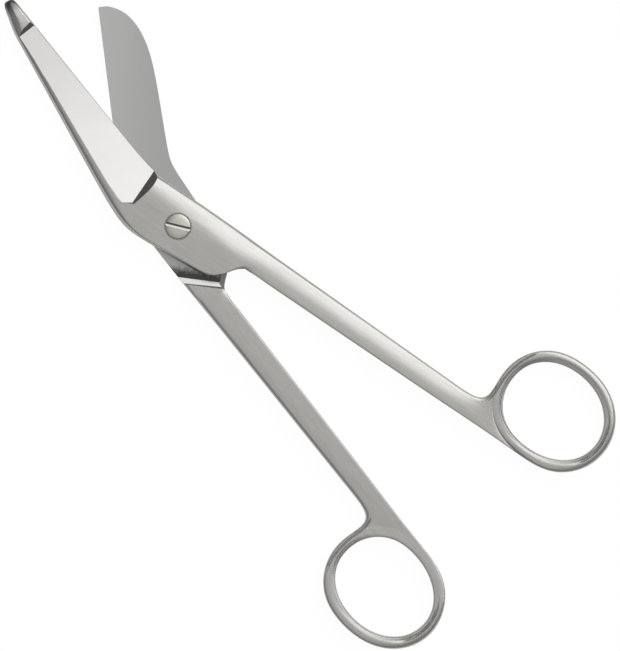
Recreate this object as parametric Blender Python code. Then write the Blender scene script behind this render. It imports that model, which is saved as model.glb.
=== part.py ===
"""Bandage scissors, 200 mm: two forged halves that turn on a slotted pivot screw.

Each half is made as it is in the workshop. A forged blank, one smooth cage from the
blade through the joint and the shank to the finger ring, is milled flat on its inner
side, gets its shoulder, its lobe, its ground blade facet and its pivot hole.

Both halves are drawn in one half frame: the pivot axis is Z, the joint plane is z = 0,
the blade points to -X, the ring to +X, the handle lies on the +Y side of the closed
centre line y = 0 and the outer face of the joint looks to +Z. The rear half is the same
drawing turned over about X and swung open about Z.
"""

import bmesh
import bpy
from math import acos, cos, pi, radians, sin, tan
from mathutils import Matrix, Vector

MM = 0.001
CREASE_LAYER = "crease_edge"

# Joint
JOINT_THICKNESS = 3.0 * MM
JOINT_GAP = 0.2 * MM
JOINT_OUTER_REACH = 8.5 * MM
JOINT_LOBE_REACH = 7.8 * MM
JOINT_FORWARD = 14.0 * MM
OPEN_ANGLE = radians(18.26)
CLOSED_CLEARANCE = 0.62 * MM

# Shoulder that stops the other half's lobe
SHOULDER_TOP = 15.1 * MM
SHOULDER_SLOPE_RUN = 1.6 * MM
LOBE_CLEARANCE = 0.4 * MM
SHOULDER_ANGLE = radians(45.0)

# Pivot screw
HEAD_DIAMETER = 6.8 * MM
HEAD_HEIGHT = 1.5 * MM
HEAD_RAISE = 0.15 * MM
HEAD_CHAMFER = 0.25 * MM
SLOT_WIDTH = 1.0 * MM
SLOT_DEPTH = 0.8 * MM
SLOT_ANGLE = radians(20.5)
SCREW_DIAMETER = 4.6 * MM
THREAD_DIAMETER = 4.0 * MM
SCREW_CLEARANCE = 0.3 * MM
THREAD_CLEARANCE = 0.15 * MM
THREAD_STEP_GAP = 0.25 * MM

# Shank
SHANK_START = 27.0 * MM
SHANK_START_WIDTH = 7.3 * MM
SHANK_END_WIDTH = 6.0 * MM
SHANK_START_HALF_HEIGHT = 2.95 * MM
SHANK_END_HALF_HEIGHT = 2.2 * MM

# Finger ring
FRONT_RING_CENTER_X = 111.8 * MM
REAR_RING_CENTER_X = 111.0 * MM
RING_CLEARANCE = 0.35 * MM
RING_HOLE_LENGTH = 29.0 * MM
RING_HOLE_WIDTH = 24.3 * MM
RING_WIDTH = 3.05 * MM
RING_THICKNESS = 4.0 * MM
RING_TILT = radians(-4.5)
WEB_HALF_HEIGHT = 2.0 * MM
# Top half of the ring's section, outside first, as shares of half width and half height
RING_PROFILE = ((1.04, 0.0), (0.92, 0.74), (0.28, 1.03), (-0.30, 1.0), (-0.92, 0.93), (-1.03, 0.0))
FLAT_RING_HEIGHTS = (0.0, 1.0, 1.0, 1.0, 0.97, 0.0)
# How flat each segment's top is, from the side next to the shank round the window
RING_FLATNESS = (1.0, 1.0, 1.0, 1.0, 0.6, 0.2, 0.0, 0.0, 0.0, 0.0, 0.0, 0.2)

# Front blade with its blunt probe
FRONT_EDGE_ANGLE = radians(17.2)
FRONT_SPINE_ANGLE = radians(27.05)
FRONT_EDGE_LENGTH = 50.9 * MM
FRONT_SPINE_LENGTH = 53.0 * MM
PROBE_LENGTH = 9.6 * MM
PROBE_END_WIDTH = 3.1 * MM
PROBE_TURN = radians(4.5)
PROBE_RISE = 2.1 * MM
PROBE_DROP = 1.7 * MM

# Rear blade with its round end
REAR_EDGE_ANGLE = radians(30.5)
REAR_BLADE_LENGTH = 54.2 * MM
REAR_BLADE_WIDTH = 14.3 * MM
REAR_BLADE_END_WIDTH = 12.3 * MM
REAR_ROUND_LENGTH = 21.1 * MM
REAR_ROUND_POWER = 2.4

# Blade grinding
SPINE_HEIGHT = 3.2 * MM
FRONT_TIP_SPINE_HEIGHT = 1.65 * MM
REAR_TIP_SPINE_HEIGHT = 2.3 * MM
EDGE_HEIGHT = 0.7 * MM
SPINE_STRIP = 2.4 * MM
FRONT_FACET_HEEL_WIDTH = 12.5 * MM
FRONT_FACET_END_WIDTH = 5.5 * MM
FRONT_FACET_SHIFT = 1.2 * MM
FACET_OUTSIDE = 4.0 * MM
FACET_INSIDE = 22.0 * MM
HEEL_WALL_RUN = 3.2 * MM
PROBE_WALL_RUN = 3.0 * MM
PROBE_CLEARANCE = 0.9 * MM

# Forging section: how far the control points of its corners and faces stand in
BLADE_ROLL = 0.9 * MM
SPINE_ROLL = 1.2 * MM
PROBE_ROLL = 0.6 * MM
OUTER_ROLL = 0.35 * MM
LOBE_ROLL = 0.5 * MM
INNER_ROLL = 0.2 * MM
FACE_ROLL = 2.8 * MM
JOINT_FACE_ROLL = 1.6 * MM
HEEL_FACE_ROLL = 5.0 * MM
SHANK_BEVEL = 2.2 * MM
WIDEST_FACE = 0.36
WIDEST_PROBE_FACE = 0.47
PROBE_RIDGE_ROWS = 4
CORNER_CREASE = 0.42
RIDGE_CREASE = 0.7

# Heights of a section as shares of its rise or drop, from the edge side on
ROLLED = (0.93, 1.0, 1.0, 0.93)
BLADE_TOP = (0.8, 1.0, 1.06, 0.93)
BLADE_FLAT = (0.8, 1.0, 1.0, 0.8)
PROBE_TOP = (1.0, 1.08, 1.08, 0.70)
PROBE_BOTTOM = (0.62, 1.05, 1.05, 0.62)
FRONT_HEEL_TOP = (0.66, 0.93, 1.0, 0.93)
JOINT_BOTTOM = (0.95, 1.0, 1.0, 0.95)
SHOULDER_FACE = (0.60, 0.835, 0.985, 1.0)
SHANK_TOP = (0.70, 0.865, 0.985, 1.0)
SHANK_BOTTOM = (0.95, 1.0, 1.0, 1.0)
WEB_FACE = (0.97, 1.0, 1.0, 1.0)

SUBDIVISION_LEVELS = 2
RING_SEGMENTS = 12
WINDOW_SEGMENTS = 3
ROUND_SEGMENTS = 32
FLAT_ANGLE = radians(1.5)

# Room that cutters take past the surfaces they cut
CUTTER_OVERRUN = 5.0 * MM
LOBE_TRIM_REACH = 30.0 * MM


def spline_shrink(count):
    """Radius of the smooth curve over the radius of its n control points on a circle."""
    return (2.0 + cos(2.0 * pi / count)) / 3.0


def along(start, angle, distance):
    """Return the plan point at a distance from start, angle measured up from -X."""
    return start + Vector((-cos(angle), sin(angle))) * distance


JOINT_FACE = JOINT_GAP / 2.0 + JOINT_THICKNESS
RING_CENTER_Y = RING_CLEARANCE + RING_WIDTH + RING_HOLE_WIDTH / 2.0
FRONT_HEEL_EDGE = Vector((-1.07 * JOINT_FORWARD, 1.018 * JOINT_OUTER_REACH))
FRONT_HEEL_SPINE = Vector((-1.17 * JOINT_FORWARD, -0.88 * JOINT_LOBE_REACH))
REAR_HEEL_EDGE = Vector((-0.965 * JOINT_FORWARD, 0.976 * JOINT_OUTER_REACH))
FRONT_EDGE_END = along(FRONT_HEEL_EDGE, FRONT_EDGE_ANGLE, FRONT_EDGE_LENGTH)
FRONT_SPINE_END = along(FRONT_HEEL_SPINE, FRONT_SPINE_ANGLE, FRONT_SPINE_LENGTH)
INNER_FLAT_REACH = min(FRONT_EDGE_END.length, FRONT_SPINE_END.length) - PROBE_CLEARANCE


def clear_scene():
    """Remove whatever the scene holds at the start."""
    for thing in list(bpy.data.objects):
        bpy.data.objects.remove(thing, do_unlink=True)


def steel(name, color, roughness):
    """Return a plain metal material."""
    material = bpy.data.materials.new(name)
    material.use_nodes = True
    shader = material.node_tree.nodes["Principled BSDF"]
    shader.inputs["Base Color"].default_value = (*color, 1.0)
    shader.inputs["Metallic"].default_value = 1.0
    shader.inputs["Roughness"].default_value = roughness
    return material


def add_object(name, mesh_builder):
    """Turn a bmesh into a linked object with outward faces."""
    bmesh.ops.recalc_face_normals(mesh_builder, faces=mesh_builder.faces)
    mesh = bpy.data.meshes.new(name)
    mesh_builder.to_mesh(mesh)
    mesh_builder.free()
    thing = bpy.data.objects.new(name, mesh)
    bpy.context.scene.collection.objects.link(thing)
    return thing


def mix(first, second, share):
    """Return the value a share of the way from first to second."""
    return first + (second - first) * share


def section(spine, edge, rise, drop, roll=BLADE_ROLL, spine_roll=BLADE_ROLL, face=FACE_ROLL,
            edge_face=0.0, widest_face=WIDEST_FACE, top=ROLLED, bottom=ROLLED):
    """Return ten control points of a forged section between two plan points.

    The ring starts at the edge side, runs over the top to the spine side and comes
    back underneath. The heights are shares of rise and drop, from the edge side on.
    """
    across = edge - spine
    width = across.length
    across.normalize()
    face = min(face, widest_face * width)
    roll = min(roll, 0.5 * face)
    spine_roll = min(spine_roll, 0.5 * face)
    edge_out = edge + across * roll / 3.0
    spine_out = spine - across * spine_roll / 3.0
    plan = (
        edge_out - across * roll,
        edge - across * (edge_face or face),
        spine + across * face,
        spine_out + across * spine_roll,
    )
    points = [edge_out.to_3d()]
    points += [Vector((p.x, p.y, rise * share)) for p, share in zip(plan, top)]
    points += [spine_out.to_3d()]
    under = [Vector((p.x, p.y, -drop * share)) for p, share in zip(plan, bottom)]
    return points + under[::-1]


def front_blade_sections():
    """Sections of the front blade, from the probe's tip to the heel."""
    probe_angle = (FRONT_EDGE_ANGLE + FRONT_SPINE_ANGLE) / 2.0 + PROBE_TURN
    middle = (FRONT_EDGE_END + FRONT_SPINE_END) / 2.0
    half_width = (FRONT_EDGE_END - FRONT_SPINE_END).length / 2.0
    square = Vector((sin(probe_angle), cos(probe_angle)))
    sections = []
    probe_stations = (
        (1.0, 0.62, 0.45),
        (0.93, 0.98, 0.78),
        (0.62, 0.97, 0.92),
        (0.12, 0.98, 1.0),
    )
    for share, fullness, height in probe_stations:
        center = along(middle, probe_angle, PROBE_LENGTH * share)
        half = mix(half_width, PROBE_END_WIDTH / 2.0, share) * fullness
        sections.append(section(
            center - square * half,
            center + square * half,
            PROBE_RISE * height,
            PROBE_DROP * height,
            roll=PROBE_ROLL,
            spine_roll=PROBE_ROLL,
            widest_face=WIDEST_PROBE_FACE,
            top=PROBE_TOP,
            bottom=PROBE_BOTTOM,
        ))
    for share in (0.97, 0.72, 0.36, 0.10):
        height = mix(SPINE_HEIGHT, FRONT_TIP_SPINE_HEIGHT, share)
        sections.append(section(
            along(FRONT_HEEL_SPINE, FRONT_SPINE_ANGLE, FRONT_SPINE_LENGTH * share),
            along(FRONT_HEEL_EDGE, FRONT_EDGE_ANGLE, FRONT_EDGE_LENGTH * share),
            height,
            height,
            spine_roll=SPINE_ROLL,
            face=SPINE_STRIP,
            top=BLADE_TOP,
            bottom=BLADE_FLAT,
        ))
    sections.append(section(
        Vector((-0.93 * JOINT_FORWARD, -1.045 * JOINT_LOBE_REACH)),
        Vector((-0.893 * JOINT_FORWARD, 0.994 * JOINT_OUTER_REACH)),
        JOINT_FACE * 1.12,
        JOINT_FACE * 1.12,
        roll=OUTER_ROLL,
        edge_face=HEEL_FACE_ROLL,
        top=FRONT_HEEL_TOP,
    ))
    return sections


def rear_blade_width(distance):
    """Width of the rear blade at a distance along its cutting edge."""
    width = mix(REAR_BLADE_WIDTH, REAR_BLADE_END_WIDTH, distance / REAR_BLADE_LENGTH)
    round_start = REAR_BLADE_LENGTH - REAR_ROUND_LENGTH
    if distance <= round_start:
        return width
    share = (distance - round_start) / REAR_ROUND_LENGTH
    return width * (1.0 - share ** REAR_ROUND_POWER) ** (1.0 / REAR_ROUND_POWER)


def rear_blade_sections():
    """Sections of the rear blade, from its round end to the heel."""
    direction = Vector((-cos(REAR_EDGE_ANGLE), -sin(REAR_EDGE_ANGLE)))
    square = Vector((sin(REAR_EDGE_ANGLE), -cos(REAR_EDGE_ANGLE)))
    sections = []
    for share in (0.997, 0.975, 0.93, 0.85, 0.74, 0.60, 0.40, 0.22):
        distance = REAR_BLADE_LENGTH * share
        edge = REAR_HEEL_EDGE + direction * distance
        spine = edge + square * rear_blade_width(distance)
        height = mix(SPINE_HEIGHT, REAR_TIP_SPINE_HEIGHT, share)
        sections.append(section(
            spine, edge, height, height, face=SPINE_STRIP, top=BLADE_FLAT, bottom=BLADE_FLAT,
        ))
    sections.append(section(
        Vector((-JOINT_FORWARD, -1.13 * JOINT_LOBE_REACH)),
        Vector((-1.057 * JOINT_FORWARD, 0.965 * JOINT_OUTER_REACH)),
        JOINT_FACE * 1.06,
        JOINT_FACE * 1.06,
    ))
    return sections


def joint_sections():
    """Sections of the joint, with the lobe on the -Y side and a sloping band on the other."""
    full = JOINT_FACE * 1.25
    stations = (
        (-0.278, 1.077, -0.278, 0.982, 5.2 * MM, 0.59),
        (0.0185, 1.0, 0.0185, 1.0, 5.6 * MM, 0.57),
        (0.333, 0.936, 0.333, 0.988, 6.0 * MM, 0.535),
        (0.637, 0.846, 0.611, 0.97, 6.0 * MM, 0.51),
    )
    return [
        section(
            Vector((SHANK_START * lobe_x, -JOINT_LOBE_REACH * lobe)),
            Vector((SHANK_START * outer_x, JOINT_OUTER_REACH * outer)),
            full,
            full,
            roll=OUTER_ROLL,
            spine_roll=LOBE_ROLL,
            face=JOINT_FACE_ROLL,
            edge_face=band,
            top=(corner, 0.88, 1.0, 0.95),
            bottom=JOINT_BOTTOM,
        )
        for lobe_x, lobe, outer_x, outer, band, corner in stations
    ]


def shank_section(spine, edge, rise, drop, top):
    """One section of the shank, with its narrow bevel on the outer side."""
    return section(
        spine, edge, rise, drop, roll=OUTER_ROLL, spine_roll=INNER_ROLL, edge_face=SHANK_BEVEL,
        top=top, bottom=SHANK_BOTTOM,
    )


def shank_sections(ring_x):
    """Sections of the shank, from the shoulder to the neck of the ring."""
    inner = CLOSED_CLEARANCE
    neck = ring_x - RING_HOLE_LENGTH / 2.0 - RING_WIDTH
    sections = [shank_section(
        Vector((0.722 * SHANK_START, inner + 0.055 * SHANK_START_WIDTH)),
        Vector((0.815 * SHANK_START, inner + 1.02 * SHANK_START_WIDTH)),
        JOINT_FACE,
        SHANK_START_HALF_HEIGHT,
        SHOULDER_FACE,
    )]
    for share in (0.0, 0.13, 0.40, 0.68, 0.87):
        x = mix(SHANK_START, neck, share)
        width = mix(SHANK_START_WIDTH, SHANK_END_WIDTH, share)
        height = mix(SHANK_START_HALF_HEIGHT, SHANK_END_HALF_HEIGHT, share)
        sections.append(shank_section(
            Vector((x, inner)), Vector((x, inner + width)), height, height, SHANK_TOP,
        ))
    sections.append(shank_section(
        Vector((neck + 0.25 * SHANK_END_WIDTH, inner + 0.02 * SHANK_END_WIDTH)),
        Vector((neck - 0.35 * SHANK_END_WIDTH, inner + SHANK_END_WIDTH)),
        SHANK_END_HALF_HEIGHT,
        SHANK_END_HALF_HEIGHT,
        SHANK_TOP,
    ))
    sections.append(section(
        Vector((neck + 1.55 * SHANK_END_WIDTH, inner + 0.09 * SHANK_END_WIDTH)),
        Vector((neck + 0.22 * SHANK_END_WIDTH, inner + 1.33 * SHANK_END_WIDTH)),
        WEB_HALF_HEIGHT,
        WEB_HALF_HEIGHT,
        roll=OUTER_ROLL,
        spine_roll=INNER_ROLL,
        top=WEB_FACE,
        bottom=WEB_FACE,
    ))
    return sections


def ring_section(step):
    """Return one ring section as shares: outermost point, over the top and back below."""
    share = RING_FLATNESS[step]
    top = [
        (out, mix(up, flat, share))
        for (out, up), flat in zip(RING_PROFILE, FLAT_RING_HEIGHTS)
    ]
    return top + [(out, -up) for out, up in reversed(top[1:-1])]


def ring_vertices(builder, ring_x):
    """Control points of the finger ring: one list of section points per segment."""
    shrink = spline_shrink(RING_SEGMENTS)
    long_axis = (RING_HOLE_LENGTH + RING_WIDTH) / 2.0
    short_axis = (RING_HOLE_WIDTH + RING_WIDTH) / 2.0
    turn = Matrix.Rotation(RING_TILT, 2)
    center = Vector((ring_x, RING_CENTER_Y))
    rings = []
    for step in range(RING_SEGMENTS):
        angle = pi + step * 2.0 * pi / RING_SEGMENTS
        middle = Vector((long_axis * cos(angle), short_axis * sin(angle))) / shrink
        outward = Vector((short_axis * cos(angle), long_axis * sin(angle))).normalized()
        points = []
        for out, up in ring_section(step):
            plan = center + turn @ (middle + outward * out * RING_WIDTH / 2.0)
            points.append(builder.verts.new((plan.x, plan.y, up * RING_THICKNESS / 2.0)))
        rings.append(points)
    return rings


def crease(builder, rows, indices):
    """Keep the edges between rows sharp at some of their points: index and sharpness."""
    layer = builder.edges.layers.float[CREASE_LAYER]
    for first, second in zip(rows, rows[1:]):
        for index, sharpness in indices:
            builder.edges.get((first[index], second[index]))[layer] = sharpness


def bridge(builder, first, second):
    """Join two closed rows of vertices with quads."""
    count = len(first)
    for i in range(count):
        j = (i + 1) % count
        builder.faces.new((first[i], first[j], second[j], second[i]))


def add_ring(builder, ring_x):
    """Add the ring with an open window on its outside and return the window's rim."""
    rings = ring_vertices(builder, ring_x)
    count = len(rings[0])
    for step in range(RING_SEGMENTS):
        here = rings[step]
        there = rings[(step + 1) % RING_SEGMENTS]
        for turn in range(count):
            nearest_outside = turn in (0, count - 1)
            if step < WINDOW_SEGMENTS and nearest_outside:
                continue
            after = (turn + 1) % count
            builder.faces.new((here[turn], there[turn], there[after], here[after]))
    corner = len(RING_PROFILE) - 2
    crease(builder, rings + rings[:1], ((corner, CORNER_CREASE), (corner + 2, CORNER_CREASE)))
    window = rings[:WINDOW_SEGMENTS + 1]
    rim = [window[0][0]]
    rim += [ring[1] for ring in window]
    rim += [window[-1][0]]
    rim += [ring[count - 1] for ring in reversed(window)]
    return rim


def forged_blank(name, blade_sections, ring_x, ridge_rows=0):
    """One smooth cage from the blade's end to the finger ring."""
    builder = bmesh.new()
    builder.edges.layers.float.new(CREASE_LAYER)
    rows = []
    for points in blade_sections + joint_sections() + shank_sections(ring_x):
        rows.append([builder.verts.new(p) for p in points])
    heel = len(blade_sections) - 1
    shank = len(blade_sections + joint_sections())
    rim = add_ring(builder, ring_x)
    for first, second in zip(rows, rows[1:] + [rim]):
        bridge(builder, first, second)
    ridges = ((1, CORNER_CREASE), (2, RIDGE_CREASE), (3, RIDGE_CREASE))
    crease(builder, rows[1:1 + ridge_rows], ridges)
    crease(builder, rows[heel:], ((1, CORNER_CREASE), (9, CORNER_CREASE)))
    crease(builder, rows[shank:], ((4, CORNER_CREASE), (6, CORNER_CREASE)))
    tip = rows[0]
    builder.faces.new((tip[0], tip[1], tip[9]))
    builder.faces.new((tip[1], tip[2], tip[8], tip[9]))
    builder.faces.new((tip[2], tip[3], tip[7], tip[8]))
    builder.faces.new((tip[3], tip[4], tip[6], tip[7]))
    builder.faces.new((tip[4], tip[5], tip[6]))
    blank = add_object(name, builder)
    smooth = blank.modifiers.new("Forging", "SUBSURF")
    smooth.levels = SUBDIVISION_LEVELS
    smooth.render_levels = SUBDIVISION_LEVELS
    return blank


def prism(name, lower, lower_z, upper, upper_z):
    """Closed cutter between two outlines with the same number of plan points."""
    builder = bmesh.new()
    bottom = [builder.verts.new((p[0], p[1], z)) for p, z in zip(lower, lower_z)]
    top = [builder.verts.new((p[0], p[1], z)) for p, z in zip(upper, upper_z)]
    bridge(builder, bottom, top)
    builder.faces.new(list(reversed(bottom)))
    builder.faces.new(top)
    return add_object(name, builder)


def slab(name, outline, low, high):
    """Closed cutter with straight walls."""
    return prism(name, outline, [low] * len(outline), outline, [high] * len(outline))


def cylinder(name, diameter, low, high):
    """Round cutter on the pivot axis."""
    outline = [
        (diameter / 2.0 * cos(2.0 * pi * i / ROUND_SEGMENTS),
         diameter / 2.0 * sin(2.0 * pi * i / ROUND_SEGMENTS))
        for i in range(ROUND_SEGMENTS)
    ]
    return slab(name, outline, low, high)


def cut(body, cutter):
    """Take the cutter out of the body with an exact Boolean."""
    cutter.parent = body
    cutter.display_type = "WIRE"
    cutter.hide_render = True
    boolean = body.modifiers.new(cutter.name, "BOOLEAN")
    boolean.operation = "DIFFERENCE"
    boolean.solver = "EXACT"
    boolean.object = cutter


def merge_flat_faces(body):
    """Merge the faces that lie flat beside each other."""
    flat = body.modifiers.new("Flat faces", "DECIMATE")
    flat.decimate_type = "DISSOLVE"
    flat.angle_limit = FLAT_ANGLE


def milled_outline(distance):
    """Arc round the milled area, between the ends of the slanting line at a distance."""
    half = acos(distance / INNER_FLAT_REACH)
    sweep = 2.0 * (pi - half)
    angles = [
        SHOULDER_ANGLE + half + sweep * step / ROUND_SEGMENTS
        for step in range(ROUND_SEGMENTS + 1)
    ]
    return [(INNER_FLAT_REACH * cos(angle), INNER_FLAT_REACH * sin(angle)) for angle in angles]


def mill_inner_side(body, name):
    """Cut the joint plane back to the slanting shoulder, clear of the other half."""
    plane = JOINT_GAP / 2.0
    depth = JOINT_FACE + CUTTER_OVERRUN
    slope = SHOULDER_SLOPE_RUN / JOINT_THICKNESS
    foot = SHOULDER_TOP - SHOULDER_SLOPE_RUN
    lower = milled_outline(foot + slope * depth)
    upper = milled_outline(foot)
    cutter = prism(name, lower, [plane - depth] * len(lower), upper, [plane] * len(upper))
    cut(body, cutter)


def trim_lobe(body, name):
    """Cut the lobe back so that it seats at the other half's shoulder when closed."""
    low = -JOINT_FACE - CUTTER_OVERRUN
    high = JOINT_FACE + CUTTER_OVERRUN
    slope = SHOULDER_SLOPE_RUN / JOINT_THICKNESS
    foot = SHOULDER_TOP - SHOULDER_SLOPE_RUN - LOBE_CLEARANCE
    inner = CLOSED_CLEARANCE
    far = 1.15 * SHANK_START
    lean = tan(SHOULDER_ANGLE)
    outlines = []
    for height in (low, high):
        reach = max(foot + slope * height, foot * 0.6)
        corner_x = reach / cos(SHOULDER_ANGLE) + inner * lean
        below = inner - LOBE_TRIM_REACH / lean
        outlines.append([
            (corner_x, inner),
            (corner_x - LOBE_TRIM_REACH, below),
            (far, below),
            (far, inner),
        ])
    cutter = prism(name, outlines[0], [low] * 4, outlines[1], [high] * 4)
    cut(body, cutter)


def face_joint(body, name):
    """Grind both faces of the joint flat, flush with those of the other half."""
    side = 2.6 * JOINT_OUTER_REACH
    end = 1.6 * side
    outline = [(-side, -side), (end, -side), (end, side), (-side, side)]
    cut(body, slab(name + "_outer", outline, JOINT_FACE, JOINT_FACE + CUTTER_OVERRUN))
    cut(body, slab(name + "_far", outline, -JOINT_FACE - CUTTER_OVERRUN, -JOINT_FACE))


def grind_facet(body, name, heel_edge, edge_angle, length, heel_width, far_height, far_width,
                far_run):
    """Grind the sloping facet from the spine strip down to the cutting edge.

    The facet's plane holds the cutting edge at its low height and reaches the spine
    strip at the spine's height at the heel. The heel's wall runs straight across the
    half and the wall at either end leans outward.
    """
    direction = Vector((-cos(edge_angle), sin(edge_angle)))
    square = Vector((-sin(edge_angle), -cos(edge_angle)))
    heel_slope = (SPINE_HEIGHT - EDGE_HEIGHT) / heel_width
    far_slope = (far_height - EDGE_HEIGHT) / far_width
    top = JOINT_FACE + CUTTER_OVERRUN
    ends = (
        (0.0, heel_slope, -HEEL_WALL_RUN, tan(edge_angle)),
        (length, far_slope, far_run, 0.0),
    )
    corners = []
    for distance, slope, run, skew in ends:
        for offset in (-FACET_OUTSIDE, FACET_INSIDE):
            foot = heel_edge + direction * (distance - skew * offset) + square * offset
            foot_z = EDGE_HEIGHT + slope * offset
            lean = run * (top - foot_z) / (JOINT_FACE - EDGE_HEIGHT)
            corners.append((foot, foot_z, foot + direction * lean))
    order = (0, 1, 3, 2)
    cutter = prism(
        name,
        [corners[i][0] for i in order],
        [corners[i][1] for i in order],
        [corners[i][2] for i in order],
        [top] * 4,
    )
    cut(body, cutter)


def place(body, turned_over, swing):
    """Stand a half on the pivot axis, its joint plane above the face it lies on."""
    body.location = (0.0, 0.0, JOINT_FACE)
    body.rotation_euler = (pi if turned_over else 0.0, 0.0, swing)


def make_front_half(material):
    """The half on top: probe blade, joint with the screw's seat, shank and ring."""
    body = forged_blank("front_half", front_blade_sections(), FRONT_RING_CENTER_X, PROBE_RIDGE_ROWS)
    mill_inner_side(body, "front_inner_mill")
    trim_lobe(body, "front_lobe_trim")
    face_joint(body, "front_face_grind")
    facet_start = FRONT_HEEL_EDGE + Vector((FRONT_FACET_SHIFT, 0.0))
    grind_facet(
        body, "front_facet_grind", facet_start, FRONT_EDGE_ANGLE, FRONT_EDGE_LENGTH,
        FRONT_FACET_HEEL_WIDTH, FRONT_TIP_SPINE_HEIGHT, FRONT_FACET_END_WIDTH, PROBE_WALL_RUN,
    )
    seat = JOINT_FACE + HEAD_RAISE - HEAD_HEIGHT - SCREW_CLEARANCE
    bore = SCREW_DIAMETER + 2.0 * SCREW_CLEARANCE
    recess = HEAD_DIAMETER + 2.0 * SCREW_CLEARANCE
    cut(body, cylinder("front_bore", bore, -CUTTER_OVERRUN, JOINT_FACE + CUTTER_OVERRUN))
    cut(body, cylinder("front_recess", recess, seat, JOINT_FACE + CUTTER_OVERRUN))
    merge_flat_faces(body)
    body.data.materials.append(material)
    place(body, False, 0.0)
    return body


def make_rear_half(material):
    """The half underneath: round-ended blade, threaded joint, shank and ring."""
    body = forged_blank("rear_half", rear_blade_sections(), REAR_RING_CENTER_X)
    mill_inner_side(body, "rear_inner_mill")
    trim_lobe(body, "rear_lobe_trim")
    face_joint(body, "rear_face_grind")
    grind_facet(
        body, "rear_facet_grind", REAR_HEEL_EDGE, -REAR_EDGE_ANGLE,
        REAR_BLADE_LENGTH * 1.2, REAR_BLADE_WIDTH, REAR_TIP_SPINE_HEIGHT, REAR_BLADE_WIDTH, 0.0,
    )
    bore = THREAD_DIAMETER + 2.0 * THREAD_CLEARANCE
    cut(body, cylinder("rear_bore", bore, -CUTTER_OVERRUN, JOINT_FACE + CUTTER_OVERRUN))
    merge_flat_faces(body)
    body.data.materials.append(material)
    place(body, True, -OPEN_ANGLE)
    return body


def make_pivot_screw(material):
    """Slotted cheese-head screw that the front half turns on, turned from bar."""
    head_top = JOINT_FACE + HEAD_RAISE
    head_low = head_top - HEAD_HEIGHT
    step = -JOINT_GAP / 2.0 + THREAD_STEP_GAP
    head = HEAD_DIAMETER / 2.0
    profile = (
        (0.0, head_top),
        (head - HEAD_CHAMFER, head_top),
        (head, head_top - HEAD_CHAMFER),
        (head, head_low),
        (SCREW_DIAMETER / 2.0, head_low),
        (SCREW_DIAMETER / 2.0, step),
        (THREAD_DIAMETER / 2.0, step),
        (THREAD_DIAMETER / 2.0, -JOINT_FACE),
        (0.0, -JOINT_FACE),
    )
    builder = bmesh.new()
    verts = [builder.verts.new((radius, 0.0, z)) for radius, z in profile]
    edges = [builder.edges.new(pair) for pair in zip(verts, verts[1:])]
    bmesh.ops.spin(
        builder,
        geom=verts + edges,
        axis=(0.0, 0.0, 1.0),
        cent=(0.0, 0.0, 0.0),
        angle=2.0 * pi,
        steps=ROUND_SEGMENTS,
        use_duplicate=False,
    )
    bmesh.ops.remove_doubles(builder, verts=builder.verts, dist=1e-6)
    screw = add_object("pivot_screw", builder)
    half_length = HEAD_DIAMETER
    half_width = SLOT_WIDTH / 2.0
    outline = [
        (x * cos(SLOT_ANGLE) - y * sin(SLOT_ANGLE), x * sin(SLOT_ANGLE) + y * cos(SLOT_ANGLE))
        for x, y in (
            (-half_length, -half_width),
            (half_length, -half_width),
            (half_length, half_width),
            (-half_length, half_width),
        )
    ]
    cut(screw, slab("screw_slot", outline, head_top - SLOT_DEPTH, head_top + CUTTER_OVERRUN))
    screw.data.materials.append(material)
    place(screw, False, 0.0)
    return screw


def main():
    """Build the three pieces."""
    clear_scene()
    satin = steel("satin_steel", (0.63, 0.62, 0.60), 0.32)
    screw_steel = steel("screw_steel", (0.66, 0.63, 0.58), 0.28)
    pieces = [
        make_front_half(satin),
        make_rear_half(satin),
        make_pivot_screw(screw_steel),
    ]
    bpy.context.view_layer.update()
    for piece in pieces:
        piece.data.shade_smooth()
        piece.data.set_sharp_from_angle(angle=radians(30.0))


main()
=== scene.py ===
"""Bandage scissors lying open on a white table, seen from straight above.

Each half is one steel forging and is modelled as one piece in its own half frame: the
pivot axis is Z, the joint plane is z = 0, the blade points to -X, the ring to +X, the
handle lies on the +Y side of the closed centre line and the outer face of the joint
looks to +Z. The front half is then lifted on to the other one, and the rear half is
turned over about X and swung open about Z.
"""

import logging
from dataclasses import dataclass, replace
from enum import Enum
from math import atan, cos, exp, log, pi, radians, sin, tan

import bmesh
import bpy
from mathutils import Matrix, Vector

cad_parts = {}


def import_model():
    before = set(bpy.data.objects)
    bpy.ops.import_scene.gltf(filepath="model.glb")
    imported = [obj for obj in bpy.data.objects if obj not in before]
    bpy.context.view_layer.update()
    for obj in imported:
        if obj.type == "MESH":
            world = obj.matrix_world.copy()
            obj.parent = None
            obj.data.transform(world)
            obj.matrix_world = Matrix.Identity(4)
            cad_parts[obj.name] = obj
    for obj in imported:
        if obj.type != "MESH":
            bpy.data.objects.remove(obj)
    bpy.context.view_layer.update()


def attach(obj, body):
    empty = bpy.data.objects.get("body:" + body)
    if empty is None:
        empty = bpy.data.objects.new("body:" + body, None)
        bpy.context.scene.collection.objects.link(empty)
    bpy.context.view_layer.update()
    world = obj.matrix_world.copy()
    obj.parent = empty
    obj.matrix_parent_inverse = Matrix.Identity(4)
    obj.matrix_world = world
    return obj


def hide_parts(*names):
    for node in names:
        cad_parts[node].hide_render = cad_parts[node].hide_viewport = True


LOG = logging.getLogger("bandage_scissors")

MM = 0.001
OPENING = radians(18.26)
UP = Vector((0.0, 0.0, 1.0))
WHITE = (1.0, 1.0, 1.0, 1.0)

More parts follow.
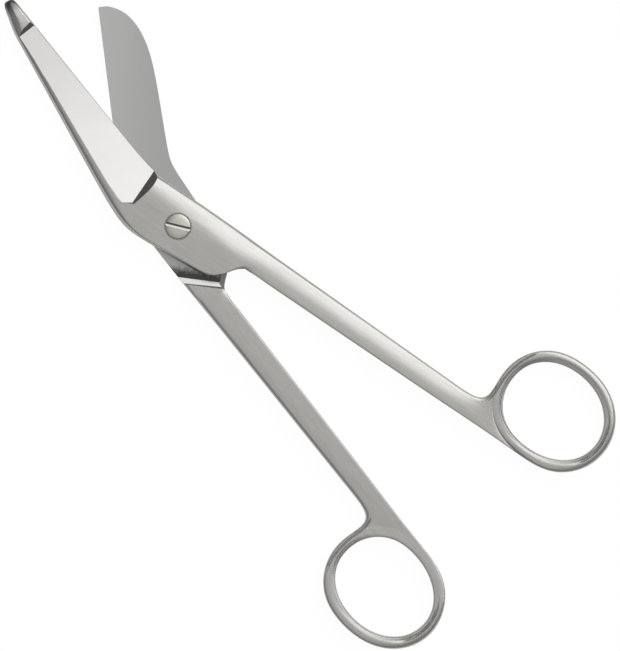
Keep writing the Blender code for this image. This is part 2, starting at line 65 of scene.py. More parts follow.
Piece = bpy.types.Object
Finish = bpy.types.Material
Socket = bpy.types.NodeSocket
Pair = tuple[float, float]
Triple = tuple[float, float, float]
Quad = tuple[float, float, float, float]
Heights = Quad
Profile = tuple[Pair, ...]
Steps = tuple[float, ...]


class Turn(Enum):
    """Which way up a half lies."""

    FACE_UP = 0.0
    TURNED_OVER = pi


class Pattern(Enum):
    """Noise over the steel, as its scale, detail and roughness."""

    LINES = (5200.0, 3.0, 0.6)
    BANDS = (1400.0, 2.0, 0.6)
    PATCHES = (1100.0, 3.0, 0.6)
    CLOUDS = (90.0, 3.0, 0.55)


class Number:
    """A shader socket that carries a number and takes Python's operators."""

    def __init__(self, graph: "Graph", socket: Socket) -> None:
        """Wrap a socket.

        Args:
            graph: The node graph that it belongs to.
            socket: The output socket that carries the number.
        """
        self.graph = graph
        self.socket = socket

    def _maths(self, operation: str, *operands: "Number | float") -> "Number":
        """Return the result of a Math node on some operands."""
        node = self.graph.node("Math", {"operation": operation}, *operands)
        return Number(self.graph, node.outputs[0])

    def __add__(self, other: "Number | float") -> "Number":
        """Return self + other."""
        return self._maths("ADD", self, other)

    def __radd__(self, other: float) -> "Number":
        """Return other + self."""
        return self._maths("ADD", other, self)

    def __sub__(self, other: "Number | float") -> "Number":
        """Return self - other."""
        return self._maths("SUBTRACT", self, other)

    def __rsub__(self, other: float) -> "Number":
        """Return other - self."""
        return self._maths("SUBTRACT", other, self)

    def __mul__(self, other: "Number | float") -> "Number":
        """Return self * other."""
        return self._maths("MULTIPLY", self, other)

    def __rmul__(self, other: float) -> "Number":
        """Return other * self."""
        return self._maths("MULTIPLY", other, self)

    def larger(self, other: "Number | float") -> "Number":
        """Return the larger of two numbers."""
        return self._maths("MAXIMUM", self, other)

    def ramp(self, low: float, high: float) -> "Number":
        """Ramp smoothly from 0 to 1.

        Args:
            low: Where the ramp starts.
            high: Where it ends.

        Returns:
            The ramp's value.
        """
        settings = {"interpolation_type": "SMOOTHSTEP", "clamp": True}
        node = self.graph.node("MapRange", settings, self, low, high, 0.0, 1.0)
        return Number(self.graph, node.outputs[0])


class Graph:
    """The node tree of a material or a world."""

    def __init__(self, owner: bpy.types.Material | bpy.types.World) -> None:
        """Empty the owner's node tree.

        Args:
            owner: The material or the world.
        """
        owner.use_nodes = True
        self.tree = owner.node_tree
        self.tree.nodes.clear()

    def node(self, kind: str, settings: dict, *inputs: object, **named: object) -> bpy.types.Node:
        """Add a node, set it up and fill or link its inputs.

        Args:
            kind: The node's type, without the word ShaderNode.
            settings: Attributes of the node, set before its inputs.
            inputs: Values or sources for the inputs in order.
            named: Values or sources by input name, with _ for a space.

        Returns:
            The new node.
        """
        node = self.tree.nodes.new(f"ShaderNode{kind}")
        for key, value in settings.items():
            setattr(node, key, value)
        pairs = list(zip(node.inputs, inputs))
        pairs += [(node.inputs[key.replace("_", " ")], value) for key, value in named.items()]
        for socket, value in pairs:
            if isinstance(value, Number):
                value = value.socket
            if isinstance(value, bpy.types.Node):
                value = value.outputs[0]
            if isinstance(value, Socket):
                self.tree.links.new(value, socket)
            else:
                socket.default_value = value
        return node

    def number(self, node: bpy.types.Node, output: str | int = 0) -> Number:
        """Return a node's output as a number."""
        return Number(self, node.outputs[output])

    def noise(self, pattern: Pattern, place: Socket) -> Number:
        """Return the noise of a pattern at a place."""
        scale, detail, roughness = pattern.value
        return self.number(self.node(
            "TexNoise", {}, Vector=place, Scale=scale, Detail=detail, Roughness=roughness,
        ))

    def tinted(self, color: Triple, shade: Number) -> Socket:
        """Return a colour, darkened to a shade.

        Args:
            color: The colour.
            shade: What each of its parts is multiplied by.

        Returns:
            The socket that carries the result.
        """
        tone = self.node("Mix", {"data_type": "RGBA", "blend_type": "MULTIPLY"}, Factor=1.0)
        first, second = [socket for socket in tone.inputs if socket.type == "RGBA"]
        first.default_value = (*color, 1.0)
        grey = self.node("CombineColor", {}, shade, shade, shade)
        self.tree.links.new(grey.outputs[0], second)
        return next(socket for socket in tone.outputs if socket.type == "RGBA")


@dataclass(frozen=True)
class PaintedShade:
    """Painted shade that sets in along one direction of the object.

    Attributes:
        share: How much of the light the darkened steel loses.
        angle: The direction, from the X axis.
        start: Where it sets in.
        end: Where it is complete.
        patches: How far its border wanders in patches.
    """

    share: float
    angle: float
    start: float
    end: float
    patches: float = 0.0

    def over(self, graph: Graph, place: Socket, shade: Number) -> Number:
        """Darken a shade with painted shade.

        Args:
            graph: The material's graph.
            place: The point in object coordinates.
            shade: The steel's shade so far.

        Returns:
            The shade with the stain.
        """
        split = graph.node("SeparateXYZ", {}, place)
        ahead = graph.number(split, "X") * cos(self.angle)
        ahead = ahead + graph.number(split, "Y") * sin(self.angle)
        if self.patches:
            # The shade darkened by the painted shade.
            ahead = ahead + (graph.noise(Pattern.PATCHES, place) - 0.5) * self.patches
        return shade * (1.0 - ahead.ramp(self.start, self.end) * self.share)


@dataclass(frozen=True)
class SteelFinish:
    """Stainless steel after grinding, brushing or polishing.

    Attributes:
        name: The material's name.
        color: The steel's colour.
        roughness: Its mean roughness.
        grain_angle: Direction of the grinding lines, from the X axis.
        grain_depth: Depth of the lines.
        mottling: How much the faint clouds darken it.
        rounding: How far sharp edges look broken.
        flank_shade: How much darker steep flanks are painted, as painted shade.
        lift: How far the normal turns up, as on the fine steps of a milled slope.
        streaks: How strong the broader streaks along the grain are.
        painted_shades: Where painted shade darkens it.
        stretch: How much longer the lines are than broad.
        line_share: How much the lines darken it, as a share of the mottling.
        relief: Strength of the lines' relief.
        steep: Upward part of a normal on a steep side.
        level: Upward part of a normal on a level face.
        cloud_roughness: How much the clouds change the roughness.
        line_roughness: How much the lines change it.
    """

    name: str
    color: Triple
    roughness: float
    grain_angle: float
    grain_depth: float
    mottling: float
    rounding: float = 0.12 * MM
    flank_shade: float = 0.0
    lift: float = 0.0
    streaks: float = 0.0
    painted_shades: tuple[PaintedShade, ...] = ()
    stretch: float = 12.0
    line_share: float = 0.5
    relief: float = 0.5
    steep: float = 0.15
    level: float = 0.72
    cloud_roughness: float = 0.10
    line_roughness: float = 0.06

    def _shade_flanks(self, graph: Graph, shade: Number) -> Number:
        """Paint shade on steep flanks.

        Args:
            graph: The material's graph.
            shade: The steel's shade so far.

        Returns:
            The shade with painted shade on the flanks.
        """
        normal = graph.node("NewGeometry", {}).outputs["Normal"]
        up = graph.number(graph.node("SeparateXYZ", {}, normal), "Z")
        level = up.larger(0.0 - up).ramp(self.steep, self.level)
        return shade * ((1.0 - self.flank_shade) + level * self.flank_shade)

    def _lifted(self, graph: Graph, normal: bpy.types.Node) -> bpy.types.Node:
        """Return a node that turns the normal upwards by the lift."""
        share = graph.node("VectorMath", {"operation": "SCALE"}, normal, Scale=1.0 - self.lift)
        return graph.node("VectorMath", {"operation": "ADD"}, share, UP * self.lift)

    def build(self) -> Finish:
        """Build the material.

        Returns:
            Metal with fine grinding lines, faint mottling and softened edges.
        """
        material = bpy.data.materials.new(self.name)
        graph = Graph(material)
        place = graph.node("TexCoord", {}).outputs["Object"]
        turned = graph.node(
            "Mapping",
            {"vector_type": "TEXTURE"},
            place,
            Rotation=(0.0, 0.0, self.grain_angle),
            Scale=(self.stretch, 1.0, 1.0),
        ).outputs[0]
        lines = graph.noise(Pattern.LINES, turned)
        clouds = graph.noise(Pattern.CLOUDS, place)
        shade = (1.0 - self.mottling) + clouds * self.mottling
        shade = shade + lines * (self.mottling * self.line_share)
        if self.streaks:
            shade = shade + (graph.noise(Pattern.BANDS, turned) - 0.5) * self.streaks
        # Painted shade: steep flanks are darker the more their normals lean from the vertical.
        if self.flank_shade:
            shade = self._shade_flanks(graph, shade)
        for painted_shade in self.painted_shades:
            shade = painted_shade.over(graph, place, shade)
        rough = self.roughness + (clouds - 0.5) * self.cloud_roughness
        rough = rough + (lines - 0.5) * self.line_roughness
        soft = graph.node("Bevel", {"samples": 4}, self.rounding)
        if self.lift:
            soft = self._lifted(graph, soft)
        bump = graph.node(
            "Bump", {}, Strength=self.relief, Distance=self.grain_depth, Height=lines, Normal=soft,
        )
        steel = graph.node(
            "BsdfPrincipled",
            {},
            Base_Color=graph.tinted(self.color, shade),
            Metallic=1.0,
            Roughness=rough,
            Normal=bump,
        )
        graph.node("OutputMaterial", {}, Surface=steel)
        return material


@dataclass(frozen=True)
class Finishes:
    """The finishes of the steel, one for each way it was worked, and dark ones that paint shade on
    cut walls and in the screw's slot.
    """

    satin: Finish
    rear_satin: Finish
    polished: Finish
    ground: Finish
    slope: Finish
    wall: Finish
    screw: Finish
    slot: Finish
    slot_side: Finish

    @classmethod
    def make(cls) -> "Finishes":
        """Build every finish.

        Returns:
            The finishes.
        """
        front_blade = radians(153.4)
        # Painted shade: the rounded tip of the probe darkens to a quarter.
        probe_tip_shade = PaintedShade(0.75, front_blade, 71.0 * MM, 74.8 * MM, 1.0 * MM)
        # Painted shade: the polished facet darkens gradually towards the probe.
        facet_end = PaintedShade(0.25, front_blade, 15.0 * MM, 72.0 * MM)
        # Painted shadow: the milled floor darkens towards the shoulder, where it lies under the
        # other half's lobe.
        shoulder = PaintedShade(0.85, radians(-63.26), 9.8 * MM, 12.6 * MM, 2.4 * MM)
        # Painted shade: a dark line along the shoulder slope's border away from the pivot.
        slope_line_shade = PaintedShade(0.85, radians(-61.6), 15.0 * MM, 15.14 * MM)
        # Painted shade: the milled inner side darkens slightly towards the joint.
        rear_back_shade = PaintedShade(0.15, radians(34.1), -21.0 * MM, -2.0 * MM)
        return cls(
            # Both satin finishes paint shade on their steep flanks.
            satin=SteelFinish(
                "Satin steel", (0.72, 0.71, 0.682), 0.30, 0.0, 0.004 * MM, 0.06, flank_shade=0.2,
                streaks=0.24, painted_shades=(probe_tip_shade,),
            ).build(),
            rear_satin=SteelFinish(
                "Rear satin steel", (0.755, 0.74, 0.713), 0.30, -OPENING, 0.004 * MM, 0.06,
                flank_shade=0.2, streaks=0.24,
            ).build(),
            polished=SteelFinish(
                "Polished facet", (0.735, 0.72, 0.705), 0.22, 1.2, 0.003 * MM, 0.04,
                painted_shades=(facet_end,),
            ).build(),
            ground=SteelFinish(
                "Ground inner side", (0.80, 0.80, 0.785), 0.34, 1.0, 0.003 * MM, 0.03,
                painted_shades=(shoulder, rear_back_shade),
            ).build(),
            slope=SteelFinish(
                "Shoulder slope", (0.85, 0.84, 0.82), 0.38, 0.8, 0.004 * MM, 0.10, lift=0.72,
                painted_shades=(slope_line_shade,),
            ).build(),
            # Painted shade: walls of cuts get this dark copy of the steel, as though they stood in
            # shade.
            wall=SteelFinish(
                "Wall in painted shade", (0.34, 0.335, 0.32), 0.40, 0.4, 0.006 * MM, 0.30, rounding=0.5 * MM,
            ).build(),
            screw=SteelFinish(
                "Turned steel", (0.91, 0.88, 0.80), 0.28, 0.9, 0.004 * MM, 0.12,
            ).build(),
            # Painted shade: the screw slot's floor and upright side get this dark copy of the steel.
            slot=SteelFinish(
                "Slot in painted shade", (0.22, 0.205, 0.19), 0.40, 0.4, 0.006 * MM, 0.20,
            ).build(),
            slot_side=SteelFinish(
                "Slot side", (0.88, 0.85, 0.80), 0.38, 0.4, 0.004 * MM, 0.10, lift=0.75,
            ).build(),
        )


def deselect() -> None:
    """Leave edit mode and deselect everything."""
    if bpy.context.mode != "OBJECT":
        bpy.ops.object.mode_set(mode="OBJECT")
    bpy.ops.object.select_all(action="DESELECT")


def take(piece: Piece) -> None:
    """Make one object the only selected and active one.

    Args:
        piece: The object.
    """
    deselect()
    piece.select_set(True)
    bpy.context.view_layer.objects.active = piece


def settle(piece: Piece) -> None:
    """Move an object's place, turn and size into its mesh."""
    take(piece)
    bpy.ops.object.transform_apply(location=True, rotation=True, scale=True)


def along(start: Vector, angle: float, distance: float) -> Vector:
    """Return the plan point at a distance from start, angle measured up from -X."""
    return start + Vector((-cos(angle), sin(angle))) * distance


def mix(first: float, second: float, share: float) -> float:
    """Return the value a share of the way from first to second."""
    return first + (second - first) * share


def on_oval(length: float, width: float, angle: float) -> tuple[Vector, Vector]:
    """Find a point of an oval.

    Args:
        length: Half its length, along X.
        width: Half its width.
        angle: Where round it the point lies.

    Returns:
        The point and the outward normal there.
    """
    point = Vector((length * cos(angle), width * sin(angle), 0.0))
    return point, Vector((width * cos(angle), length * sin(angle), 0.0)).normalized()


def round_bar(radius: float, low: float, high: float, sides: int) -> Piece:
    """Add a round bar on the pivot axis.

    Args:
        radius: Its radius.
        low: Height of its lower end.
        high: Height of its upper end.
        sides: How many flats stand for its round side.

    Returns:
        The bar, with its place in its mesh.
    """
    deselect()
    bpy.ops.mesh.primitive_cylinder_add(
        vertices=sides, radius=radius, depth=high - low, location=UP * ((low + high) / 2.0),
    )
    bar = bpy.context.object
    settle(bar)
    return bar


def prism(lower: list[Vector], upper: list[Vector]) -> Piece:
    """Add a solid with flat ends and sides.

    Args:
        lower: Its lower corners, in order round it.
        upper: The corners above them.

    Returns:
        The solid.
    """
    deselect()
    bpy.ops.mesh.primitive_cylinder_add(vertices=len(lower))
    block = bpy.context.object
    for index, (below, above) in enumerate(zip(lower, upper)):
        block.data.vertices[2 * index].co = below
        block.data.vertices[2 * index + 1].co = above
    take(block)
    bpy.ops.object.mode_set(mode="EDIT")
    bpy.ops.mesh.select_all(action="SELECT")
    bpy.ops.mesh.normals_make_consistent(inside=False)
    bpy.ops.object.mode_set(mode="OBJECT")
    return block


def trim(block: Piece, point: Vector, outward: Vector) -> None:
    """Cut a solid off at a plane and close it there.

    Args:
        block: The solid.
        point: A point of the plane.
        outward: The plane's normal; what lies on that side goes.
    """
    take(block)
    bpy.ops.object.mode_set(mode="EDIT")
    bpy.ops.mesh.select_all(action="SELECT")
    bpy.ops.mesh.bisect(plane_co=point, plane_no=outward, use_fill=True, clear_outer=True)
    bpy.ops.object.mode_set(mode="OBJECT")


def dress(piece: Piece, finish: Finish) -> None:
    """Give a piece one material all over."""
    piece.data.materials.clear()
    piece.data.materials.append(finish)


def dress_facing(piece: Piece, finish: Finish, normal: Vector, spread: float = 0.1) -> None:
    """Give the faces that look one way a material of their own.

    Args:
        piece: The piece.
        finish: The material.
        normal: The direction that the faces look to.
        spread: How far a face's normal may stand off it, in radians.
    """
    piece.data.materials.append(finish)
    slot = len(piece.data.materials) - 1
    for face in piece.data.polygons:
        if face.normal.angle(normal) < spread:
            face.material_index = slot


def carve(body: Piece, cutter: Piece) -> None:
    """Take a cutter out of a body; the cut faces get the cutter's finish.

    Args:
        body: The piece that is cut.
        cutter: The solid that is taken out, and removed afterwards.
    """
    take(body)
    boolean = body.modifiers.new("Cut", "BOOLEAN")
    boolean.operation = "DIFFERENCE"
    boolean.solver = "EXACT"
    boolean.material_mode = "TRANSFER"
    boolean.object = cutter
    bpy.ops.object.modifier_apply(modifier=boolean.name)
    bpy.data.objects.remove(cutter, do_unlink=True)


class Cage:
    """Control cage of a forging, grown from its first station to its last."""

    def __init__(self, name: str, points: list[Vector]) -> None:
        """Start at the first station.

        Args:
            name: The piece's name.
            points: The station's control points, in order round the section.
        """
        deselect()
        bpy.ops.mesh.primitive_circle_add(vertices=len(points), fill_type="NOTHING")
        self.piece = bpy.context.object
        self.piece.name = name
        bpy.ops.object.mode_set(mode="EDIT")
        self.first = list(range(len(points)))
        self.rim = self.first
        self._shape(points)

    def _mesh(self) -> bmesh.types.BMesh:
        """Look up the mesh in edit mode.

        Returns:
            The mesh, with its tables up to date.
        """
        mesh = bmesh.from_edit_mesh(self.piece.data)
        mesh.verts.ensure_lookup_table()
        return mesh

    def _shape(self, points: list[Vector]) -> None:
        """Move the open rim's points to a station.

        Args:
            points: The station's control points.
        """
        mesh = self._mesh()
        for index, point in zip(self.rim, points):
            mesh.verts[index].co = point
        bmesh.update_edit_mesh(self.piece.data)

    def select(self, indices: list[int]) -> None:
        """Select some points, with the edges and faces between them.

        Args:
            indices: The points' numbers.
        """
        mesh = self._mesh()
        chosen = set(indices)
        for vert in mesh.verts:
            vert.select = vert.index in chosen
        mesh.select_flush(True)
        mesh.select_flush(False)
        bmesh.update_edit_mesh(self.piece.data)

    def grow(self, points: list[Vector]) -> None:
        """Extrude the open rim to the next station.

        Args:
            points: The station's control points.
        """
        self.select(self.rim)
        bpy.ops.mesh.extrude_region_move()
        mesh = self._mesh()
        grown = []
        for index in self.rim:
            here = mesh.verts[index]
            others = [edge.other_vert(here) for edge in here.link_edges]
            grown += [vert.index for vert in others if vert.select]
        self.rim = grown
        self._shape(points)

    def crease(self, indices: list[int], sharpness: float) -> None:
        """Keep the edges between some points sharp when the cage is smoothed."""
        self.select(indices)
        bpy.ops.transform.edge_crease(value=sharpness)

    def nearest(self, place: Vector) -> int:
        """Return the number of the point that lies nearest to a place."""
        return min(self._mesh().verts, key=lambda vert: (vert.co - place).length).index

    def close(self, rim: list[int]) -> None:
        """Fill a station with a strip of faces.

        Args:
            rim: The numbers of its points.
        """
        count = len(rim)
        half = count // 2
        strips = [[0, 1, count - 1]]
        strips += [[i, i + 1, count - i - 1, count - i] for i in range(1, half - 1)]
        strips += [[half - 1, half, half + 1]]
        for strip in strips:
            self.select([rim[i] for i in strip])
            bpy.ops.mesh.edge_face_add()

    def finish(self, levels: int) -> Piece:
        """Turn the faces outwards and smooth the cage.

        Args:
            levels: How often the cage is subdivided.

        Returns:
            The smooth piece.
        """
        bpy.ops.mesh.select_all(action="SELECT")
        bpy.ops.mesh.normals_make_consistent(inside=False)
        take(self.piece)
        smooth = self.piece.modifiers.new("Forging", "SUBSURF")
        smooth.levels = levels
        smooth.render_levels = levels
        bpy.ops.object.modifier_apply(modifier=smooth.name)
        return self.piece


@dataclass(frozen=True)
class Section:
    """How a forging is rounded between its spine side and its edge side in plan.

    Attributes:
        roll: How far the rounding of the edge side reaches in.
        spine_roll: The same on the spine side.
        face: How far the slope of the spine side reaches in.
        edge_face: The same on the edge side, or 0 where both are alike.
        widest_face: The most that face may be, as a share of the width.
        top: Heights over the top as shares, from the edge side to the spine side.
        bottom: The same underneath.
    """

    roll: float = 0.9 * MM
    spine_roll: float = 0.9 * MM
    face: float = 2.8 * MM
    edge_face: float = 0.0
    widest_face: float = 0.36
    top: Heights = (0.93, 1.0, 1.0, 0.93)
    bottom: Heights = (0.93, 1.0, 1.0, 0.93)

    def at(self, spine: Vector, edge: Vector, rise: float, drop: float = 0.0) -> list[Vector]:
        """Place the section at a station.

        Args:
            spine: Plan point of its spine side.
            edge: Plan point of its edge side.
            rise: Its height above the joint plane.
            drop: Its depth below that, or 0 where it is as deep as high.

        Returns:
            Ten control points: edge side, over the top, spine side, underneath.
        """
        across = (edge - spine).normalized()
        face = min(self.face, self.widest_face * (edge - spine).length)
        roll = min(self.roll, 0.5 * face)
        spine_roll = min(self.spine_roll, 0.5 * face)
        # The smoothed sides lie inside their control points by about a third of the rolls.
        edge_out = edge + across * roll / 3.0
        spine_out = spine - across * spine_roll / 3.0
        plan = (
            edge_out - across * roll,
            edge - across * (self.edge_face or face),
            spine + across * face,
            spine_out + across * spine_roll,
        )
        over = [Vector((p.x, p.y, rise * up)) for p, up in zip(plan, self.top)]
        under = [Vector((p.x, p.y, -(drop or rise) * down)) for p, down in zip(plan, self.bottom)]
        return [edge_out.to_3d()] + over + [spine_out.to_3d()] + under[::-1]


# Top halves of ring sections, as shares of their half width and half height, from the
# outermost point to the innermost one.
ROLLED: Profile = (
    (1.015, 0.0), (0.98, 0.72), (0.78, 0.955), (0.42, 1.02),
    (0.12, 1.06), (-0.20, 1.015), (-0.55, 0.975), (-0.92, 0.94), (-1.03, 0.0),
)
FLAT: Profile = (
    (0.985, 0.0), (0.97, 1.0), (0.74, 1.0), (0.42, 1.0),
    (0.12, 1.0), (-0.20, 1.0), (-0.55, 1.0), (-0.92, 0.97), (-1.03, 0.0),
)
CHAMFERED: Profile = (
    (1.0, 0.0), (0.98, 0.90), (0.74, 1.0), (0.42, 1.0),
    (0.12, 1.0), (-0.20, 1.0), (-0.56, 0.93), (-0.92, 0.85), (-1.03, 0.0),
)
GROOVED: Profile = (
    (1.015, 0.0), (0.98, 0.62), (0.60, 0.985), (0.15, 1.03),
    (-0.12, 1.02), (-0.30, 0.58), (-0.46, 0.98), (-0.92, 0.95), (-1.03, 0.0),
)
CRESTED: Profile = (
    (1.0, 0.0), (0.98, 0.88), (0.80, 0.99), (0.30, 1.005),
    (-0.14, 1.015), (-0.62, 0.925), (-0.80, 0.93), (-0.93, 0.915), (-1.03, 0.0),
)
OWN_PROFILES: dict[int, Profile] = {0: CHAMFERED, 6: GROOVED, 11: CHAMFERED}
SECTION_POINTS = 2 * len(ROLLED) - 2


@dataclass(frozen=True)
class FingerRing:
    """Oval finger ring whose outside opens towards the shank.

    Its segments are counted from the side next to the shank, by way of the side next to
    the centre line. The steps and the offsets are in millimetres.

    Attributes:
        center_x: Where its middle lies along the centre line.
        hole_width: Width of its hole.
        flatness: How flat the top of each segment is, from 0 to 1.
        growth: How much broader each segment is than the pattern, on its outside.
        crested: The segments with a low crest beside the hole.
        fine_start: Where round the hole the fine line beside it starts.
        fine_end: Where it ends.
        fine_offsets: How far it lies off the hole, at even steps round it.
        hole_length: Length of its hole.
        width: The ring's width in plan.
        thickness: Its thickness.
        clearance: Half the gap to the other ring when the scissors are closed.
        tilt: Its turn out of the direction of the shank.
        segments: How many segments its cage has.
        window: How many of them open towards the shank.
        swelling: How far each segment's middle lies outside the oval.
        widening: How much wider each segment is.
        rim_crease: Sharpness of the hole's rim.
        seam_creases: Points of the shank's end and the sharpness of the edges from them.
        bead_line: The deeper line along the outside of the web, from the ring's middle.
        bead_width: Width of that line.
        bead_depth: Its depth.
        fine_width: Width of the fine line.
        fine_depth: Its depth.
        groove_smoothing: How often the cutter of a line is subdivided.
    """

    center_x: float
    hole_width: float
    flatness: Steps
    growth: Steps
    crested: tuple[int, ...]
    fine_start: float
    fine_end: float
    fine_offsets: Steps
    hole_length: float = 29.0 * MM
    width: float = 3.05 * MM
    thickness: float = 4.0 * MM
    clearance: float = 0.35 * MM
    tilt: float = radians(-4.5)
    segments: int = 12
    window: int = 3
    swelling: Steps = (-0.65, -0.09, 0.44, -0.53, 0.23, 0.26, -0.05, -0.01, -0.04, -0.29, 0.28, 0.02)
    widening: Steps = (0.12, 0.02, 0.03, -0.46, 0.71, 0.20, 0.2, 0.28, 0.34, -0.05, 0.37, 0.08)
    rim_crease: float = 0.42
    seam_creases: tuple[tuple[int, float], ...] = ((1, 0.36), (9, 0.36), (4, 0.55), (6, 0.55))
    bead_line: Profile = (
        (-17.3, 6.2), (-16.3, 8.0), (-15.8, 10.1), (-16.0, 12.8),
        (-16.1, 16.0), (-15.3, 20.4), (-13.8, 24.0), (-11.4, 27.5),
    )
    bead_width: float = 0.8 * MM
    bead_depth: float = 0.55 * MM
    fine_width: float = 0.84 * MM
    fine_depth: float = 0.27 * MM
    groove_smoothing: int = 2

    def _placed(self, point: Vector) -> Vector:
        """Move a point from the ring's own frame to its place on the half.

        Args:
            point: The point.

        Returns:
            The moved point.
        """
        center_y = self.clearance + self.width + self.hole_width / 2.0
        turn = Matrix.Rotation(self.tilt, 3, "Z")
        return turn @ point + Vector((self.center_x, center_y, 0.0))

    def _section(self, step: int) -> list[Pair]:
        """Return a segment's control points as shares.

        Args:
            step: The segment's number.

        Returns:
            The points from the outermost one over the top and back underneath.
        """
        top = [
            (mix(out, flat_out, self.flatness[step]), mix(up, flat_up, self.flatness[step]))
            for (out, up), (flat_out, flat_up) in zip(ROLLED, FLAT)
        ]
        top = list(CRESTED if step in self.crested else OWN_PROFILES.get(step, top))
        return top + [(out, -up) for out, up in reversed(top[1:-1])]

    def _shape(self, piece: Piece) -> None:
        """Give a torus the ring's own shape.

        Args:
            piece: The torus, with as many segments as the ring.
        """
        half_length = (self.hole_length + self.width) / 2.0
        half_width = (self.hole_width + self.width) / 2.0
        turn = 2.0 * pi / self.segments
        # The smoothed oval comes out at this share of its cage's size.
        shrink = (2.0 + cos(turn)) / 3.0
        for step in range(self.segments):
            center, outward = on_oval(half_length, half_width, pi + step * turn)
            growth = self.growth[step] * MM
            center = center / shrink + outward * (self.swelling[step] * MM + growth / 2.0)
            width = self.width + self.widening[step] * MM + growth
            for index, (out, up) in enumerate(self._section(step)):
                point = center + outward * (out * width / 2.0)
                point.z = up * self.thickness / 2.0
                piece.data.vertices[step * SECTION_POINTS + index].co = self._placed(point)

    def _crease(self, cage: Cage, start: int) -> None:
        """Sharpen the hole's rim, the web's edges and the bottoms of the section's grooves.

        Args:
            cage: The cage that the ring was joined to.
            start: The number of the ring's first point in it.
        """
        everywhere = range(self.segments)
        web = range(1, self.window + 2)
        far = range(self.segments // 2 - 1, self.segments // 2 + 2)
        lines = [(len(ROLLED) - 2, everywhere), (1, web), (4, far), (5, far), (6, far)]
        for index, steps in lines:
            for point in (index, SECTION_POINTS - index):
                chosen = [start + step * SECTION_POINTS + point for step in steps]
                cage.crease(chosen, self.rim_crease)

    def _window_rim(self) -> list[int]:
        """List the points round the window, in the order of the shank's end.

        Returns:
            The points' numbers in the ring.
        """
        steps = range(self.window + 1)
        rim = [0] + [step * SECTION_POINTS + 1 for step in steps] + [self.window * SECTION_POINTS]
        return rim + [(step + 1) * SECTION_POINTS - 1 for step in reversed(steps)]

    def add_to(self, cage: Cage) -> None:
        """Add the ring to a cage and bridge the shank to its window.

        Args:
            cage: The cage, with its open rim at the end of the shank.
        """
        deselect()
        bpy.ops.mesh.primitive_torus_add(major_segments=self.segments, minor_segments=SECTION_POINTS)
        ring = bpy.context.object
        self._shape(ring)
        take(cage.piece)
        ring.select_set(True)
        start = len(cage.piece.data.vertices)
        bpy.ops.object.join()
        bpy.ops.object.mode_set(mode="EDIT")
        self._crease(cage, start)
        mesh = bmesh.from_edit_mesh(cage.piece.data)
        mesh.verts.ensure_lookup_table()
        outer = {mesh.verts[start + step * SECTION_POINTS] for step in range(self.window + 1)}
        points = [mesh.verts[index] for index in cage.rim]
        others = [mesh.verts[start + index] for index in self._window_rim()]
        inside = outer | set(others)
        doomed = [
            face for face in mesh.faces
            if inside.issuperset(face.verts) and not outer.isdisjoint(face.verts)
        ]
        seams = [
            (points[index].co.copy(), others[index].co.copy(), sharpness)
            for index, sharpness in self.seam_creases
        ]
        bmesh.ops.delete(mesh, geom=doomed, context="FACES")
        loose = [vert for vert in mesh.verts if not vert.link_faces]
        bmesh.ops.delete(mesh, geom=loose, context="VERTS")
        for vert in mesh.verts:
            vert.select = False
        mesh.select_flush(False)
        chosen = set(points) | set(others)
        for edge in mesh.edges:
            edge.select = edge.is_boundary and chosen.issuperset(edge.verts)
        bmesh.update_edit_mesh(cage.piece.data)
        bpy.ops.mesh.bridge_edge_loops()
        for first, second, sharpness in seams:
            cage.crease([cage.nearest(first), cage.nearest(second)], sharpness)

    def _fine_line(self) -> list[Vector]:
        """Work out the fine line beside the hole.

        Returns:
            Its plan points.
        """
        last = len(self.fine_offsets) - 1
        points = []
        for step, offset in enumerate(self.fine_offsets):
            angle = mix(self.fine_start, self.fine_end, step / last)
            edge, outward = on_oval(self.hole_length / 2.0, self.hole_width / 2.0, angle)
            points.append(self._placed(edge + outward * (offset * MM)))
        return points

    def groove(self, piece: Piece, finish: Finish) -> None:
        """Cut the two thin lines along the ring, on both sides.

        Args:
            piece: The half.
            finish: Finish of the lines.
        """
        bead = [Vector((self.center_x + x * MM, y * MM, 0.0)) for x, y in self.bead_line]
        for path, width, depth in (
            (bead, self.bead_width, self.bead_depth),
            (self._fine_line(), self.fine_width, self.fine_depth),
        ):
            for side in (1.0, -1.0):
                self._cut_line(piece, finish, path, (width, side * depth))

    def _cut_line(self, piece: Piece, finish: Finish, path: list[Vector], size: Pair) -> None:
        """Cut a V-shaped line that runs out at its ends.

        Args:
            piece: The half.
            finish: Finish of the line.
            path: Plan points of the line.
            size: Its width and its depth, below zero for the underside.
        """
        width, depth = size
        face = self.thickness / 2.0 * (1.0 if depth > 0.0 else -1.0)
        deep = UP * depth
        steps = [after - before for before, after in zip(path, path[1:])]
        steps = [steps[0]] + [a + b for a, b in zip(steps, steps[1:])] + [steps[-1]]
        sections = []
        for point, step in zip(path, steps):
            across = step.cross(UP).normalized() * (width / 2.0)
            middle = point + UP * face
            sections.append([middle + across, middle - deep, middle - across, middle + deep])
        for end in (0, -1):
            sections[end] = [point + deep for point in sections[end]]
        cage = Cage("ring_line", sections[0])
        for section in sections[1:]:
            cage.grow(section)
        cage.close(cage.first)
        cage.close(cage.rim)
        cutter = cage.finish(self.groove_smoothing)
        dress(cutter, finish)
        carve(piece, cutter)


@dataclass(frozen=True)
class JointStep:
    """One station of the joint, as shares of the shank's start and the joint's reaches.

    Attributes:
        lobe_x: Where it crosses the lobe's side.
        lobe: How far the lobe reaches out there.
        outer_x: Where it crosses the outer side.
        outer: How far the outer side reaches out there.
        slope: How far the outer side's slope reaches in.
        corner: Height of that slope's foot, as a share.
    """

    lobe_x: float
    lobe: float
    outer_x: float
    outer: float
    slope: float
    corner: float


@dataclass(frozen=True)
class FacetCorner:
    """One corner of a ground facet, measured from its heel on the cutting edge.

    Attributes:
        ahead: How far along the cutting edge.
        inward: How far square from it.
        slope: The facet's slope there.
        run: How far the wall above leans along the edge at the joint's full height.
    """

    ahead: float
    inward: float
    slope: float
    run: float


